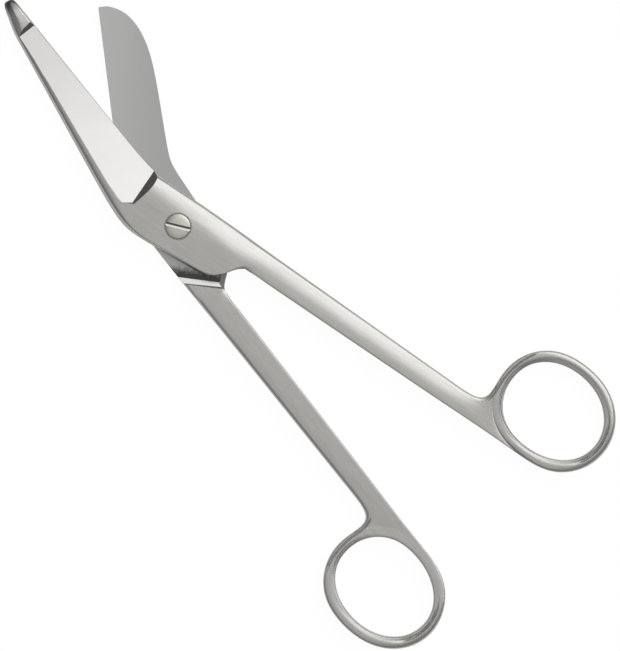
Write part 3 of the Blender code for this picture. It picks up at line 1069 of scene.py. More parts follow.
@dataclass
class ForgedHalf:
    """What the two halves share: joint, shoulder, lobe, shank and ring.

    Pairs of shares give a plan point: at the heel as shares of how far the joint reaches
    ahead and out, at the shoulder as shares of the shank's start and of its width there,
    and at the neck and the web as shares of the shank's width at its end.

    Attributes:
        name: The piece's name.
        node: The part's node that it stands for.
        body: The body that it moves with.
        turn: Which way up it lies.
        swing: How far it is swung open.
        ring: Its finger ring.
        blade_section: The blade, seen across.
        blade_shares: Where the blade's stations lie, from the heel to its end.
        heel_section: The end of the blade at the joint, seen across.
        heel_spine_end: Where the back of the blade runs into the joint.
        heel_edge_end: Where the side with the cutting edge runs into it.
        heel_height: Height of the blank there, as a share of the finished joint's.
        heel_edge_start: Where the cutting edge starts.
        edge_angle: The cutting edge's angle up from -X.
        tip_height: Height of the blade at its end.
        joint_thickness: Thickness of the finished joint.
        joint_gap: Gap between the two milled sides.
        joint_crown: Height of the blank over the joint, as a share of the finished one.
        joint_heights: Heights over the top behind each step's corner, as shares.
        outer_reach: How far the joint reaches out on the side away from the lobe.
        lobe_reach: How far it reaches out on the lobe's side.
        forward: How far it reaches ahead of the pivot.
        joint_section: The joint, seen across.
        joint_steps: Its stations.
        inner: Half the gap between the two shanks when the scissors are closed.
        shoulder_top: How far the shoulder's far border stands off the pivot.
        shoulder_run: How far the shoulder's slope reaches in.
        shoulder_angle: Direction of the shoulder's normal, from the X axis.
        shoulder_spine: Where the first station behind it meets the centre line.
        shoulder_edge: Where that station meets the outer side.
        shoulder_heights: Heights over its top, as shares.
        lobe_clearance: Gap between the lobe and the other shoulder when closed.
        shank_start: Where the shank starts, behind the pivot.
        shank_start_height: Height of the shank above the joint plane where it starts.
        shank_end_height: The same at its end.
        shank_shares: Where the shank's stations lie between its start and the neck.
        shank_section: The shank, seen across.
        neck_spine: Where the neck's station meets the centre line.
        neck_edge: Where it meets the outer side.
        neck_heights: Heights over the neck's top, as shares.
        web_spine: Where the web's station meets the centre line.
        web_edge: Where it meets the outer side.
        web_height: Height of the web above the joint plane.
        web_heights: Heights over and under it, as shares.
        spine_height: Height of the blade's back at the heel.
        edge_height: Height of the cutting edge.
        heel_wall_run: How far the wall at the heel leans over.
        facet_outside: How far the facet's grinding starts outside the cutting edge.
        facet_inside: How far it reaches inwards.
        facet_spread: How far a facet may turn and still be polished, in radians.
        milling_reach: Radius of the flat inner side round the pivot.
        milling_sides: How many flats stand for the milling cutter's round side.
        drill_sides: The same for a drill's.
        seat_reach: How far the lobe's trimming reaches along the shoulder.
        seat_end: Where it ends, as a share of the shank's start.
        seat_least: Its least distance off the pivot, as a share of that at the plane.
        outer_crease: Sharpness of the outer corners.
        inner_crease: Sharpness of the corners along the inner side.
        face_softness: Height over which the joint's face turns into its rolled edges.
        softness_reach: How many times as far down that turn is worked out.
        smoothing: How often the blank is subdivided.
        smooth_angle: The greatest angle between faces that is shaded smooth.
        overrun: How far a cutter reaches past the steel.
    """

    name: str
    node: str
    body: str
    turn: Turn
    swing: float
    ring: FingerRing
    blade_section: Section
    blade_shares: Steps
    heel_section: Section
    heel_spine_end: Pair
    heel_edge_end: Pair
    heel_height: float
    heel_edge_start: Pair
    edge_angle: float
    tip_height: float
    joint_thickness: float = 3.0 * MM
    joint_gap: float = 0.2 * MM
    joint_crown: float = 1.25
    outer_reach: float = 8.5 * MM
    lobe_reach: float = 7.8 * MM
    forward: float = 14.0 * MM
    joint_section: Section = Section(
        roll=0.35 * MM, spine_roll=0.5 * MM, face=1.6 * MM, bottom=(0.95, 1.0, 1.0, 0.95)
    )
    joint_heights: Triple = (0.88, 1.0, 0.95)
    joint_steps: tuple[JointStep, ...] = (
        JointStep(-0.278, 1.077, -0.278, 0.982, 5.8 * MM, 0.59),
        JointStep(0.0185, 1.0, 0.0185, 1.0, 6.2 * MM, 0.57),
        JointStep(0.333, 0.936, 0.333, 0.988, 6.5 * MM, 0.535),
        JointStep(0.637, 0.846, 0.611, 0.97, 6.4 * MM, 0.51),
    )
    inner: float = 0.62 * MM
    shoulder_top: float = 15.1 * MM
    shoulder_run: float = 1.6 * MM
    shoulder_angle: float = radians(45.0)
    shoulder_spine: Pair = (0.722, 0.055)
    shoulder_edge: Pair = (0.815, 1.02)
    shoulder_heights: Heights = (0.62, 0.85, 1.0, 1.0)
    lobe_clearance: float = 0.4 * MM
    shank_start: float = 27.0 * MM
    shank_start_width: float = 7.3 * MM
    shank_end_width: float = 6.0 * MM
    shank_start_height: float = 2.95 * MM
    shank_end_height: float = 2.2 * MM
    shank_shares: Steps = (0.0, 0.13, 0.40, 0.68, 0.87)
    shank_section: Section = Section(
        roll=0.35 * MM, spine_roll=0.12 * MM, edge_face=2.2 * MM,
        top=(0.70, 0.875, 0.99, 1.0), bottom=(0.95, 1.0, 1.0, 1.0),
    )
    neck_spine: Pair = (0.25, 0.02)
    neck_edge: Pair = (-0.35, 1.0)
    neck_heights: Heights = (0.80, 0.94, 1.0, 1.0)
    web_spine: Pair = (1.55, 0.015)
    web_edge: Pair = (0.22, 1.33)
    web_height: float = 2.0 * MM
    web_heights: Heights = (0.97, 1.0, 1.0, 1.0)
    spine_height: float = 3.2 * MM
    edge_height: float = 0.7 * MM
    heel_wall_run: float = 3.2 * MM
    facet_outside: float = 4.0 * MM
    facet_inside: float = 22.0 * MM
    facet_spread: float = 0.6
    milling_reach: float = 65.0 * MM
    milling_sides: int = 256
    drill_sides: int = 128
    seat_reach: float = 30.0 * MM
    seat_end: float = 1.15
    seat_least: float = 0.6
    outer_crease: float = 0.36
    inner_crease: float = 0.55
    face_softness: float = 0.12 * MM
    softness_reach: float = 12.0
    smoothing: int = 3
    smooth_angle: float = radians(20.0)
    overrun: float = 5.0 * MM

    @property
    def joint_face(self) -> float:
        """Height of the joint's outer face above the joint plane."""
        return self.joint_gap / 2.0 + self.joint_thickness

    @property
    def heel_edge(self) -> Vector:
        """Plan point where the cutting edge starts."""
        return self.on_joint(self.heel_edge_start)

    @property
    def flat_reach(self) -> float:
        """Radius of the flat inner side round the pivot."""
        return self.milling_reach

    def on_joint(self, shares: Pair) -> Vector:
        """Find a plan point on the joint.

        Args:
            shares: Its place as shares, the second below zero on the lobe's side.

        Returns:
            The point.
        """
        ahead, out = shares
        reach = self.outer_reach if out > 0.0 else self.lobe_reach
        return Vector((ahead * self.forward, out * reach))

    def blade_stations(self) -> list[list[Vector]]:
        """Place the blade's stations.

        Returns:
            Their control points, from the blade's end to the heel.
        """
        raise NotImplementedError

    def heel_station(self) -> list[Vector]:
        """Place the station where the blade ends and the joint begins.

        Returns:
            Its control points.
        """
        return self.heel_section.at(
            self.on_joint(self.heel_spine_end),
            self.on_joint(self.heel_edge_end),
            self.joint_face * self.heel_height,
        )

    def joint_stations(self) -> list[list[Vector]]:
        """Place the joint's stations, with the lobe on the -Y side.

        Returns:
            Their control points, from the blade to the shank.
        """
        stations = []
        for step in self.joint_steps:
            top = (step.corner, *self.joint_heights)
            section = replace(self.joint_section, edge_face=step.slope, top=top)
            stations.append(section.at(
                Vector((self.shank_start * step.lobe_x, -self.lobe_reach * step.lobe)),
                Vector((self.shank_start * step.outer_x, self.outer_reach * step.outer)),
                self.joint_face * self.joint_crown,
            ))
        return stations

    def shank_stations(self) -> list[list[Vector]]:
        """Place the shank's stations.

        Returns:
            Their control points, from the shoulder to the web of the ring.
        """
        start = self.shank_start
        first = self.shank_start_width
        last = self.shank_end_width
        neck = self.ring.center_x - self.ring.hole_length / 2.0 - self.ring.width
        shoulder = replace(self.shank_section, top=self.shoulder_heights)
        corners = (self.shoulder_spine, self.shoulder_edge)
        places = [Vector((x * start, self.inner + y * first)) for x, y in corners]
        stations = [shoulder.at(*places, self.joint_face, self.shank_start_height)]
        for share in self.shank_shares:
            x = mix(start, neck, share)
            stations.append(self.shank_section.at(
                Vector((x, self.inner)),
                Vector((x, self.inner + mix(first, last, share))),
                mix(self.shank_start_height, self.shank_end_height, share),
            ))
        throat = replace(self.shank_section, top=self.neck_heights)
        web = replace(
            self.shank_section, edge_face=0.0, top=self.web_heights, bottom=self.web_heights
        )
        for section, corners, height in (
            (throat, (self.neck_spine, self.neck_edge), self.shank_end_height),
            (web, (self.web_spine, self.web_edge), self.web_height),
        ):
            places = [Vector((neck + x * last, self.inner + y * last)) for x, y in corners]
            stations.append(section.at(*places, height))
        return stations

    def crease(self, cage: Cage, rims: list[list[int]]) -> None:
        """Sharpen the corners along the joint, the shank and the web.

        Args:
            cage: The cage before it is smoothed.
            rims: The numbers of the points of each station.
        """
        joint = len(self.blade_stations())
        shank = joint + len(self.joint_stations())
        for place, (first, second) in enumerate(zip(rims, rims[1:]), start=1):
            corners = [(1, self.outer_crease), (9, self.outer_crease)] if place >= joint else []
            corners += [(4, self.inner_crease), (6, self.inner_crease)] if place > shank else []
            for index, sharpness in corners:
                cage.crease([first[index], second[index]], sharpness)

    def forge(self) -> Piece:
        """Grow the smooth blank from the blade's end to the ring and level its joint.

        Returns:
            The blank.
        """
        stations = self.blade_stations() + self.joint_stations() + self.shank_stations()
        cage = Cage(self.name, stations[0])
        rims = [cage.rim]
        for station in stations[1:]:
            cage.grow(station)
            rims.append(cage.rim)
        cage.close(cage.first)
        self.crease(cage, rims)
        self.ring.add_to(cage)
        piece = cage.finish(self.smoothing)
        self.press_joint(piece)
        return piece

    def press_joint(self, piece: Piece) -> None:
        """Level both faces of the joint, with a soft turn into the rolled edges.

        Args:
            piece: The half.
        """
        for vert in piece.data.vertices:
            depth = (self.joint_face - abs(vert.co.z)) / self.face_softness
            if depth < self.softness_reach:
                level = self.joint_face - self.face_softness * log(1.0 + exp(depth))
                vert.co.z = level if vert.co.z > 0.0 else -level

    def mill(self, piece: Piece, flat: Finish, slope: Finish) -> None:
        """Mill the inner side flat out to the slanting shoulder.

        Args:
            piece: The half.
            flat: Finish of the flat inner side.
            slope: Finish of the shoulder's slope.
        """
        plane = self.joint_gap / 2.0
        low = plane - self.joint_face - self.overrun
        cutter = round_bar(self.flat_reach, low, plane, self.milling_sides)
        ahead = Vector((cos(self.shoulder_angle), sin(self.shoulder_angle), 0.0))
        lean = atan(self.shoulder_run / self.joint_thickness)
        normal = ahead * cos(lean) + UP * sin(lean)
        foot = ahead * (self.shoulder_top - self.shoulder_run) + UP * plane
        trim(cutter, foot, normal)
        dress(cutter, flat)
        dress_facing(cutter, slope, normal)
        carve(piece, cutter)

    def seat_lobe(self, piece: Piece, wall: Finish) -> None:
        """Cut the lobe back so that it seats at the other half's shoulder.

        Args:
            piece: The half.
            wall: Finish of the cut, a dark copy of the steel that paints shade on it.
        """
        foot = self.shoulder_top - self.shoulder_run - self.lobe_clearance
        slope = self.shoulder_run / self.joint_thickness
        lean = tan(self.shoulder_angle)
        far = self.seat_end * self.shank_start
        depth = self.joint_face + self.overrun
        below = self.inner - self.seat_reach / lean
        ends = []
        for height in (-depth, depth):
            reach = max(foot + slope * height, foot * self.seat_least)
            corner = reach / cos(self.shoulder_angle) + self.inner * lean
            ends.append([
                Vector((corner, self.inner, height)),
                Vector((corner - self.seat_reach, below, height)),
                Vector((far, below, height)),
                Vector((far, self.inner, height)),
            ])
        cutter = prism(*ends)
        dress(cutter, wall)
        carve(piece, cutter)

    def facet(
        self, piece: Piece, heel: Vector, corners: list[FacetCorner], flat: Finish, wall: Finish
    ) -> None:
        """Grind the blade's sloping facet between its heel and its end.

        Args:
            piece: The half.
            heel: Plan point of the facet's foot on the cutting edge.
            corners: The facet's outline, in order round it.
            flat: Finish of the facet.
            wall: Finish of the walls at its ends, a dark copy of the steel that paints shade on
                them.
        """
        ahead = Vector((-cos(self.edge_angle), sin(self.edge_angle), 0.0))
        inward = Vector((-sin(self.edge_angle), -cos(self.edge_angle), 0.0))
        top = self.joint_face + self.overrun
        lower = []
        upper = []
        for corner in corners:
            foot = heel.to_3d() + ahead * corner.ahead + inward * corner.inward
            foot += UP * (self.edge_height + corner.slope * corner.inward)
            rise = top - foot.z
            lean = corner.run * rise / (self.joint_face - self.edge_height)
            lower.append(foot)
            upper.append(foot + ahead * lean + UP * rise)
        cutter = prism(lower, upper)
        dress(cutter, wall)
        dress_facing(cutter, flat, -UP, self.facet_spread)
        carve(piece, cutter)

    def drill(self, piece: Piece, diameter: float, low: float, finish: Finish) -> None:
        """Drill a round hole on the pivot axis from the outer face down.

        Args:
            piece: The half.
            diameter: The hole's diameter.
            low: Height of its bottom.
            finish: Finish of its wall.
        """
        high = self.joint_face + self.overrun
        cutter = round_bar(diameter / 2.0, low, high, self.drill_sides)
        dress(cutter, finish)
        carve(piece, cutter)

    def place(self, piece: Piece) -> None:
        """Shade the half smooth and move it from its half frame to its place.

        Args:
            piece: The half.
        """
        take(piece)
        bpy.ops.object.shade_smooth_by_angle(angle=self.smooth_angle)
        weighted = piece.modifiers.new("Flat faces stay flat", "WEIGHTED_NORMAL")
        weighted.keep_sharp = True
        bpy.ops.object.modifier_apply(modifier=weighted.name)
        piece.location = (0.0, 0.0, self.joint_face)
        piece.rotation_euler = (self.turn.value, 0.0, self.swing)
        settle(piece)
        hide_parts(self.node)
        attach(piece, self.body)
        LOG.info("%s: %d faces", piece.name, len(piece.data.polygons))


@dataclass
class FrontHalf(ForgedHalf):
    """The half on top: blade with a blunt probe, joint, shank and ring.

    Attributes:
        heel_spine_start: Where the back of the blade starts.
        spine_angle: The angle of the blade's back up from -X.
        probe_turn: How far the probe turns off the middle of the blade.
        probe_rise: Its height above the joint plane.
        probe_drop: Its depth below that.
        probe_overlap: How far it reaches under the blade.
        probe_steps: Its stations, each as shares of its length, width and height.
        probe_creases: Points of its section and the sharpness of the edges along them.
        facet_width: Width of the facet at the heel.
        facet_end_width: Its width at the probe.
        facet_shift: How far its heel lies behind the start of the cutting edge.
        heel_turn: Where the wall at the heel turns off, inside the cutting edge.
        heel_turn_slope: How steeply it then runs ahead.
        probe_wall_run: How far the wall at the probe leans over.
        bore: Diameter of the hole for the screw's shank.
        recess: Diameter of the seat of the screw's head.
        recess_depth: Its depth.
    """

    name: str = "front_half_steel"
    node: str = "front_half"
    body: str = "front_body"
    turn: Turn = Turn.FACE_UP
    swing: float = 0.0
    ring: FingerRing = FingerRing(
        center_x=111.8 * MM,
        hole_width=24.3 * MM,
        flatness=(0.0, 1.0, 0.8, 0.0, 0.0, 0.0, 0.0, 0.0, 0.0, 0.0, 0.0, 0.0),
        growth=(0.0,) * 12,
        crested=(3, 4),
        fine_start=radians(148.0),
        fine_end=radians(366.0),
        fine_offsets=(
            0.9, 0.72, 0.6, 0.7, 1.0, 1.15, 0.9, 0.6, 0.5, 0.45, 0.45, 0.55, 0.7, 0.9, 1.1,
        ),
    )
    blade_section: Section = Section(
        spine_roll=0.75 * MM, face=1.5 * MM, edge_face=2.4 * MM,
        top=(0.8, 1.0, 0.985, 0.92), bottom=(0.8, 1.0, 1.0, 0.8),
    )
    blade_shares: Steps = (0.97, 0.72, 0.36, 0.10)
    heel_section: Section = Section(
        roll=0.35 * MM, edge_face=5.0 * MM, top=(0.66, 0.93, 1.0, 0.93)
    )
    heel_spine_end: Pair = (-0.93, -1.045)
    heel_edge_end: Pair = (-0.893, 0.994)
    heel_height: float = 1.12
    heel_edge_start: Pair = (-1.07, 1.018)
    heel_spine_start: Pair = (-1.17, -0.88)
    edge_angle: float = radians(17.2)
    spine_angle: float = radians(27.05)
    edge_length: float = 50.9 * MM
    spine_length: float = 53.0 * MM
    tip_height: float = 1.65 * MM
    probe_length: float = 9.6 * MM
    probe_end_width: float = 3.1 * MM
    probe_turn: float = radians(4.5)
    probe_rise: float = 2.1 * MM
    probe_drop: float = 1.7 * MM
    probe_overlap: float = 0.9 * MM
    probe_section: Section = Section(
        roll=0.6 * MM, spine_roll=0.6 * MM, widest_face=0.47,
        top=(0.99, 1.08, 1.08, 0.90), bottom=(0.62, 1.05, 1.05, 0.62),
    )
    probe_steps: tuple[Triple, ...] = (
        (1.0, 0.62, 0.45), (0.93, 0.98, 0.78), (0.62, 0.97, 0.92), (0.12, 0.98, 1.0),
    )
    probe_creases: tuple[tuple[int, float], ...] = ((1, 0.8), (2, 0.7), (3, 0.7))
    facet_width: float = 12.5 * MM
    facet_end_width: float = 5.5 * MM
    facet_shift: float = 1.2 * MM
    heel_turn: float = 9.7 * MM
    heel_turn_slope: float = 0.8
    probe_wall_run: float = 3.0 * MM
    bore: float = 5.2 * MM
    recess: float = 7.4 * MM
    recess_depth: float = 1.65 * MM

    @property
    def heel_spine(self) -> Vector:
        """Plan point where the back of the blade starts."""
        return self.on_joint(self.heel_spine_start)

    @property
    def edge_end(self) -> Vector:
        """Plan point where the cutting edge meets the probe."""
        return along(self.heel_edge, self.edge_angle, self.edge_length)

    @property
    def spine_end(self) -> Vector:
        """Plan point where the back of the blade meets the probe."""
        return along(self.heel_spine, self.spine_angle, self.spine_length)

    @property
    def flat_reach(self) -> float:
        """Radius of the flat inner side, which ends before the probe."""
        return min(self.edge_end.length, self.spine_end.length) - self.probe_overlap

    def blade_stations(self) -> list[list[Vector]]:
        """Place the probe's and the blade's stations.

        Returns:
            Their control points, from the probe's tip to the heel.
        """
        angle = (self.edge_angle + self.spine_angle) / 2.0 + self.probe_turn
        middle = (self.edge_end + self.spine_end) / 2.0
        half_width = (self.edge_end - self.spine_end).length / 2.0
        square = Vector((sin(angle), cos(angle)))
        stations = []
        for share, fullness, height in self.probe_steps:
            center = along(middle, angle, self.probe_length * share)
            half = mix(half_width, self.probe_end_width / 2.0, share) * fullness
            stations.append(self.probe_section.at(
                center - square * half,
                center + square * half,
                self.probe_rise * height,
                self.probe_drop * height,
            ))
        for share in self.blade_shares:
            stations.append(self.blade_section.at(
                along(self.heel_spine, self.spine_angle, self.spine_length * share),
                along(self.heel_edge, self.edge_angle, self.edge_length * share),
                mix(self.spine_height, self.tip_height, share),
            ))
        return stations + [self.heel_station()]

    def crease(self, cage: Cage, rims: list[list[int]]) -> None:
        """Sharpen the ridge along the top of the probe, and the shared corners.

        Args:
            cage: The cage before it is smoothed.
            rims: The numbers of the points of each station.
        """
        super().crease(cage, rims)
        last = len(self.probe_steps)
        for first, second in zip(rims[1:last], rims[2:last + 1]):
            for index, sharpness in self.probe_creases:
                cage.crease([first[index], second[index]], sharpness)

    def facet_corners(self) -> list[FacetCorner]:
        """Outline the facet, which turns ahead inside the heel.

        Returns:
            Its corners, in order round it.
        """
        heel_slope = (self.spine_height - self.edge_height) / self.facet_width
        end_slope = (self.tip_height - self.edge_height) / self.facet_end_width
        skew = tan(self.edge_angle)
        outside = self.facet_outside
        inside = self.facet_inside
        turn = self.heel_turn
        beyond_turn = -skew * turn + self.heel_turn_slope * (inside - turn)
        heel = [(skew * outside, -outside), (-skew * turn, turn), (beyond_turn, inside)]
        corners = [FacetCorner(*place, heel_slope, -self.heel_wall_run) for place in heel]
        corners += [
            FacetCorner(self.edge_length, inward, end_slope, self.probe_wall_run)
            for inward in (inside, -outside)
        ]
        return corners

    def build(self, finishes: Finishes) -> None:
        """Forge, grind and place the half.

        Args:
            finishes: The steel's finishes.
        """
        piece = self.forge()
        dress(piece, finishes.satin)
        self.ring.groove(piece, finishes.satin)
        self.mill(piece, finishes.ground, finishes.wall)
        self.seat_lobe(piece, finishes.wall)
        heel = self.heel_edge + Vector((self.facet_shift, 0.0))
        self.facet(piece, heel, self.facet_corners(), finishes.polished, finishes.wall)
        self.drill(piece, self.bore, -self.overrun, finishes.wall)
        self.drill(piece, self.recess, self.joint_face - self.recess_depth, finishes.satin)
        self.place(piece)


@dataclass
class RearHalf(ForgedHalf):
    """The half underneath: round-ended blade, threaded joint, shank and ring.

    Attributes:
        blade_length: Length of the cutting edge.
        blade_width: The blade's width at the heel.
        blade_end_width: The width that it would have at its end if it weren't round.
        round_length: Length of the round end.
        round_power: How square the round end is, 2 for an ellipse.
        facet_end: Where the facet's grinding ends, as a share of the blade's length.
        bore: Diameter of the hole that holds the screw.
    """

    name: str = "rear_half_steel"
    node: str = "rear_half"
    body: str = "rear_body"
    turn: Turn = Turn.TURNED_OVER
    swing: float = -OPENING
    ring: FingerRing = FingerRing(
        center_x=111.0 * MM,
        hole_width=23.9 * MM,
        flatness=(0.0, 1.0, 1.0, 1.0, 0.8, 0.3, 0.0, 0.0, 0.0, 0.0, 0.5, 0.0),
        growth=(-0.1, 0.0, 0.0, 0.1, -0.05, -0.15, 0.2, 0.18, 0.12, 0.3, 0.4, -0.05),
        crested=(8, 9),
        fine_start=radians(200.0),
        fine_end=radians(2.0),
        fine_offsets=(
            0.7, 0.5, 0.5, 0.65, 0.68, 0.53, 0.44, 0.42, 0.42, 0.42, 0.42, 0.42, 0.5, 0.8, 1.05,
        ),
    )
    blade_section: Section = Section(
        face=2.4 * MM, top=(0.8, 1.0, 1.0, 0.8), bottom=(0.8, 1.0, 1.0, 0.8)
    )
    blade_shares: Steps = (0.997, 0.975, 0.93, 0.85, 0.74, 0.60, 0.40, 0.22)
    heel_section: Section = Section()
    heel_spine_end: Pair = (-1.0, -1.13)
    heel_edge_end: Pair = (-1.057, 0.965)
    heel_height: float = 1.06
    heel_edge_start: Pair = (-0.965, 0.976)
    edge_angle: float = radians(-30.5)
    blade_length: float = 54.2 * MM
    blade_width: float = 14.3 * MM
    blade_end_width: float = 12.3 * MM
    round_length: float = 21.1 * MM
    round_power: float = 2.4
    tip_height: float = 2.3 * MM
    facet_end: float = 1.2
    bore: float = 4.3 * MM

    def width_at(self, distance: float) -> float:
        """Return the blade's width.

        Args:
            distance: Where along its cutting edge.

        Returns:
            The width there, which closes to nothing in a round end.
        """
        width = mix(self.blade_width, self.blade_end_width, distance / self.blade_length)
        straight = self.blade_length - self.round_length
        if distance <= straight:
            return width
        share = (distance - straight) / self.round_length
        return width * (1.0 - share ** self.round_power) ** (1.0 / self.round_power)

    def blade_stations(self) -> list[list[Vector]]:
        """Place the blade's stations.

        Returns:
            Their control points, from its round end to the heel.
        """
        square = Vector((-sin(self.edge_angle), -cos(self.edge_angle)))
        stations = []
        for share in self.blade_shares:
            distance = self.blade_length * share
            edge = along(self.heel_edge, self.edge_angle, distance)
            height = mix(self.spine_height, self.tip_height, share)
            spine = edge + square * self.width_at(distance)
            stations.append(self.blade_section.at(spine, edge, height))
        return stations + [self.heel_station()]

    def facet_corners(self) -> list[FacetCorner]:
        """Outline the facet, which runs out beyond the blade's end.

        Returns:
            Its corners, in order round it.
        """
        heel_slope = (self.spine_height - self.edge_height) / self.blade_width
        end_slope = (self.tip_height - self.edge_height) / self.blade_width
        skew = tan(self.edge_angle)
        beyond = self.blade_length * self.facet_end
        outside = self.facet_outside
        inside = self.facet_inside
        return [
            FacetCorner(skew * outside, -outside, heel_slope, -self.heel_wall_run),
            FacetCorner(-skew * inside, inside, heel_slope, -self.heel_wall_run),
            FacetCorner(beyond, inside, end_slope, 0.0),
            FacetCorner(beyond, -outside, end_slope, 0.0),
        ]

    def build(self, finishes: Finishes) -> None:
        """Forge, grind and place the half.

        Args:
            finishes: The steel's finishes.
        """
        piece = self.forge()
        dress(piece, finishes.rear_satin)
        self.ring.groove(piece, finishes.rear_satin)
        self.mill(piece, finishes.ground, finishes.slope)
        self.seat_lobe(piece, finishes.wall)
        self.facet(piece, self.heel_edge, self.facet_corners(), finishes.polished, finishes.wall)
        self.drill(piece, self.bore, -self.overrun, finishes.wall)
        self.place(piece)


@dataclass
class PivotScrew:
    """Slotted cheese-head screw, turned from bar.

    Attributes:
        joint_face: Height of the joint's outer face above the joint plane.
        head_raise: How far the head's rim stands above that face.
        step_height: Height of the step between shank and thread.
        dome_inset: Width of each step of the head's dome.
        dome_rises: How each step shares in the dome's height.
        slot_angle: Direction of the slot, from the X axis.
        slot_wear: How far the worn side of the slot leans.
        smooth_angle: The greatest angle between faces that is shaded smooth.
        sides: How many flats stand for its round side.
        tolerance: How far off a height a point may lie and still count as there.
    """

    joint_face: float
    head_diameter: float = 6.8 * MM
    head_height: float = 1.5 * MM
    head_raise: float = 0.15 * MM
    head_chamfer: float = 0.25 * MM
    chamfer_segments: int = 4
    dome: float = 0.18 * MM
    dome_inset: float = 0.8 * MM
    dome_rises: Steps = (0.5, 0.3, 0.2)
    shank_diameter: float = 4.6 * MM
    thread_diameter: float = 4.0 * MM
    step_height: float = 0.15 * MM
    slot_width: float = 1.0 * MM
    slot_depth: float = 0.8 * MM
    slot_angle: float = radians(20.5)
    slot_wear: float = radians(32.0)
    smooth_angle: float = radians(35.0)
    sides: int = 96
    tolerance: float = 0.01 * MM

    def build(self, finishes: Finishes) -> None:
        """Turn the screw, cut its slot and place it.

        Args:
            finishes: The steel's finishes.
        """
        top = self.joint_face + self.head_raise
        low = top - self.head_height
        screw = round_bar(self.head_diameter / 2.0, low, top, self.sides)
        screw.name = "pivot_screw_steel"
        self._extend(screw, low, self.shank_diameter, self.step_height)
        self._extend(screw, self.step_height, self.thread_diameter, -self.joint_face)
        self._shape_head(screw, top)
        dress(screw, finishes.screw)
        self._cut_slot(screw, top, finishes)
        take(screw)
        bpy.ops.object.shade_smooth_by_angle(angle=self.smooth_angle)
        screw.location = (0.0, 0.0, self.joint_face)
        settle(screw)
        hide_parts("pivot_screw")
        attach(screw, "rear_body")
        LOG.info("%s: %d faces", screw.name, len(screw.data.polygons))

    def _select_cap(self, screw: Piece, height: float) -> None:
        """Select the flat face at a height and stay in edit mode.

        Args:
            screw: The screw.
            height: The face's height.
        """
        take(screw)
        bpy.ops.object.mode_set(mode="EDIT")
        bpy.ops.mesh.select_mode(type="FACE")
        mesh = bmesh.from_edit_mesh(screw.data)
        for face in mesh.faces:
            face.select = all(abs(v.co.z - height) < self.tolerance for v in face.verts)
        bmesh.update_edit_mesh(screw.data)

    def _extend(self, screw: Piece, height: float, diameter: float, low: float) -> None:
        """Draw a thinner length out of the screw's lower face.

        Args:
            screw: The screw.
            height: Where its lower face is now.
            diameter: Diameter of the new length.
            low: Height of the new lower face.
        """
        self._select_cap(screw, height)
        mesh = bmesh.from_edit_mesh(screw.data)
        cap = next(face for face in mesh.faces if face.select and face.normal.z < 0.0)
        for face in mesh.faces:
            face.select = face is cap
        radius = max(vert.co.to_2d().length for vert in cap.verts)
        bmesh.update_edit_mesh(screw.data)
        bpy.ops.mesh.inset(thickness=radius - diameter / 2.0)
        bpy.ops.mesh.extrude_region_move(
            TRANSFORM_OT_translate={"value": (0.0, 0.0, low - height)}
        )
        bpy.ops.object.mode_set(mode="OBJECT")

    def _shape_head(self, screw: Piece, top: float) -> None:
        """Bevel the head's rim and raise the middle of its top a little.

        Args:
            screw: The screw.
            top: Height of the head's rim.
        """
        self._select_cap(screw, top)
        bpy.ops.mesh.bevel(
            offset=self.head_chamfer, segments=self.chamfer_segments, affect="EDGES"
        )
        bpy.ops.object.mode_set(mode="OBJECT")
        self._select_cap(screw, top)
        for share in self.dome_rises:
            bpy.ops.mesh.inset(thickness=self.dome_inset)
            bpy.ops.transform.translate(value=(0.0, 0.0, self.dome * share))
        bpy.ops.object.mode_set(mode="OBJECT")

    def _cut_slot(self, screw: Piece, top: float, finishes: Finishes) -> None:
        """Saw the driver slot across the head, with one side worn to a slope.

        Args:
            screw: The screw.
            top: Height of the head's rim.
            finishes: The steel's finishes.
        """
        deselect()
        bpy.ops.mesh.primitive_cube_add(
            size=1.0,
            location=(0.0, 0.0, top),
            scale=(2.0 * self.head_diameter, self.slot_width, 2.0 * self.slot_depth),
        )
        cutter = bpy.context.object
        settle(cutter)
        worn = Vector((0.0, -cos(self.slot_wear), -sin(self.slot_wear)))
        trim(cutter, Vector((0.0, -self.slot_width / 2.0, top)), worn)
        # The slot's floor and upright side get the dark finish that paints their shade.
        dress(cutter, finishes.slot)
        dress_facing(cutter, finishes.slot_side, worn)
        cutter.rotation_euler = (0.0, 0.0, self.slot_angle)
        settle(cutter)
        carve(screw, cutter)


@dataclass(frozen=True)
class Lamp:
    """A soft lamp that looks at the middle of the view.

    Attributes:
        name: Its name.
        toward: Its direction in the picture, up from the right.
        off_vertical: Its angle off the vertical.
        size: Its width and height.
        power: Its power in watts.
        distance: How far it stands from the middle.
    """

    name: str
    toward: float
    off_vertical: float
    size: Pair
    power: float
    distance: float = 2.0

    def build(self, middle: Vector, right: Vector) -> None:
        """Hang the lamp.

        Args:
            middle: The middle of the view.
            right: The direction to the right in the picture.
        """
        data = bpy.data.lights.new(self.name, "AREA")
        data.shape = "RECTANGLE"
        data.size, data.size_y = self.size
        data.energy = self.power
        lamp = bpy.data.objects.new(self.name, data)
        bpy.context.scene.collection.objects.link(lamp)
        aside = right * cos(self.toward) + UP.cross(right) * sin(self.toward)
        ahead = aside * sin(self.off_vertical) + UP * cos(self.off_vertical)
        lamp.location = middle + ahead * self.distance
        lamp.rotation_euler = ahead.to_track_quat("Z", "Y").to_euler()
        lamp.visible_camera = False


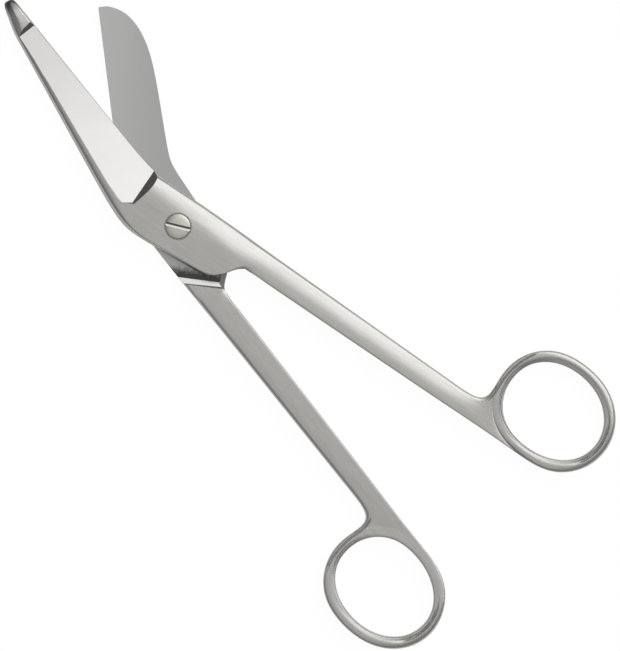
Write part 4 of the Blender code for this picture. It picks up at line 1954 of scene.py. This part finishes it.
@dataclass
class Studio:
    """White table, camera straight above and plain soft lamps.

    Attributes:
        distance: How high the camera hangs.
        view_height: Height of what it sees.
        center: The middle of the view.
        right: The direction to the right in the picture.
        floor_size: Size of the table.
        floor_color: The table's own colour.
        glow: How bright it looks to the camera.
        ambient: Strength of the even light from all round.
        seen_share: How much of the table's look to the camera is its glow.
        mirrored_share: The same in reflections.
        sensor_height: Height of the camera's sensor, in millimetres.
        lamps: The lamps.
    """

    distance: float = 3.0
    view_height: float = 0.1758
    center: Pair = (0.04442, -0.00215)
    right: Triple = (0.8282, 0.5605, 0.0)
    floor_size: float = 6.0
    floor_color: Quad = (0.9, 0.9, 0.9, 1.0)
    glow: float = 1.07
    ambient: float = 0.2
    seen_share: float = 0.9
    mirrored_share: float = 0.35
    sensor_height: float = 24.0
    lamps: tuple[Lamp, ...] = (
        Lamp("Key", radians(50.0), radians(38.0), (2.2, 1.7), 13.4),
        Lamp("Top", 0.0, 0.0, (1.0, 1.0), 1.1),
    )

    def build(self) -> None:
        """Build the table, the world, the lamps and the camera."""
        self._table()
        self._world()
        for lamp in self.lamps:
            lamp.build(Vector((*self.center, 0.0)), Vector(self.right))
        self._camera()

    def _table(self) -> None:
        """Add the table top, which shows as white with the object's faint shadow."""
        deselect()
        bpy.ops.mesh.primitive_plane_add(size=self.floor_size)
        table = bpy.context.object
        table.name = "table"
        white = bpy.data.materials.new("White table")
        graph = Graph(white)
        path = graph.node("LightPath", {})
        mirrored = graph.number(path, "Is Glossy Ray")
        mirrored = mirrored.larger(graph.number(path, "Is Transmission Ray"))
        seen = graph.number(path, "Is Camera Ray") * self.seen_share
        seen = seen.larger(mirrored * self.mirrored_share)
        diffuse = graph.node("BsdfDiffuse", {}, Color=self.floor_color)
        glow = graph.node("Emission", {}, Color=WHITE, Strength=self.glow)
        both = graph.node("MixShader", {}, seen, diffuse, glow)
        graph.node("OutputMaterial", {}, Surface=both)
        dress(table, white)

    def _world(self) -> None:
        """Light everything evenly and keep whatever the camera sees behind it white."""
        world = bpy.data.worlds.new("White room")
        bpy.context.scene.world = world
        graph = Graph(world)
        seen = graph.node("LightPath", {}).outputs["Is Camera Ray"]
        room = graph.node("Background", {}, Color=WHITE, Strength=self.ambient)
        backdrop = graph.node("Background", {}, Color=WHITE, Strength=1.0)
        both = graph.node("MixShader", {}, seen, room, backdrop)
        graph.node("OutputWorld", {}, Surface=both)

    def _camera(self) -> None:
        """Hang the camera straight above the middle of the view, with a long lens."""
        data = bpy.data.cameras.new("Camera")
        data.sensor_fit = "VERTICAL"
        data.sensor_height = self.sensor_height
        data.lens = data.sensor_height * self.distance / self.view_height
        data.clip_end = 2.0 * self.distance
        camera = bpy.data.objects.new("Camera", data)
        scene = bpy.context.scene
        scene.collection.objects.link(camera)
        right = Vector(self.right)
        camera.location = (*self.center, self.distance)
        camera.rotation_euler = (0.0, 0.0, atan(right.y / right.x))
        scene.camera = camera
        scene.view_settings.view_transform = "Standard"


def main() -> None:
    """Build the scissors and the studio round them."""
    logging.basicConfig(level=logging.INFO)
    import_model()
    finishes = Finishes.make()
    front = FrontHalf()
    front.build(finishes)
    RearHalf().build(finishes)
    PivotScrew(front.joint_face).build(finishes)
    Studio().build()


if __name__ == "__main__":
    main()
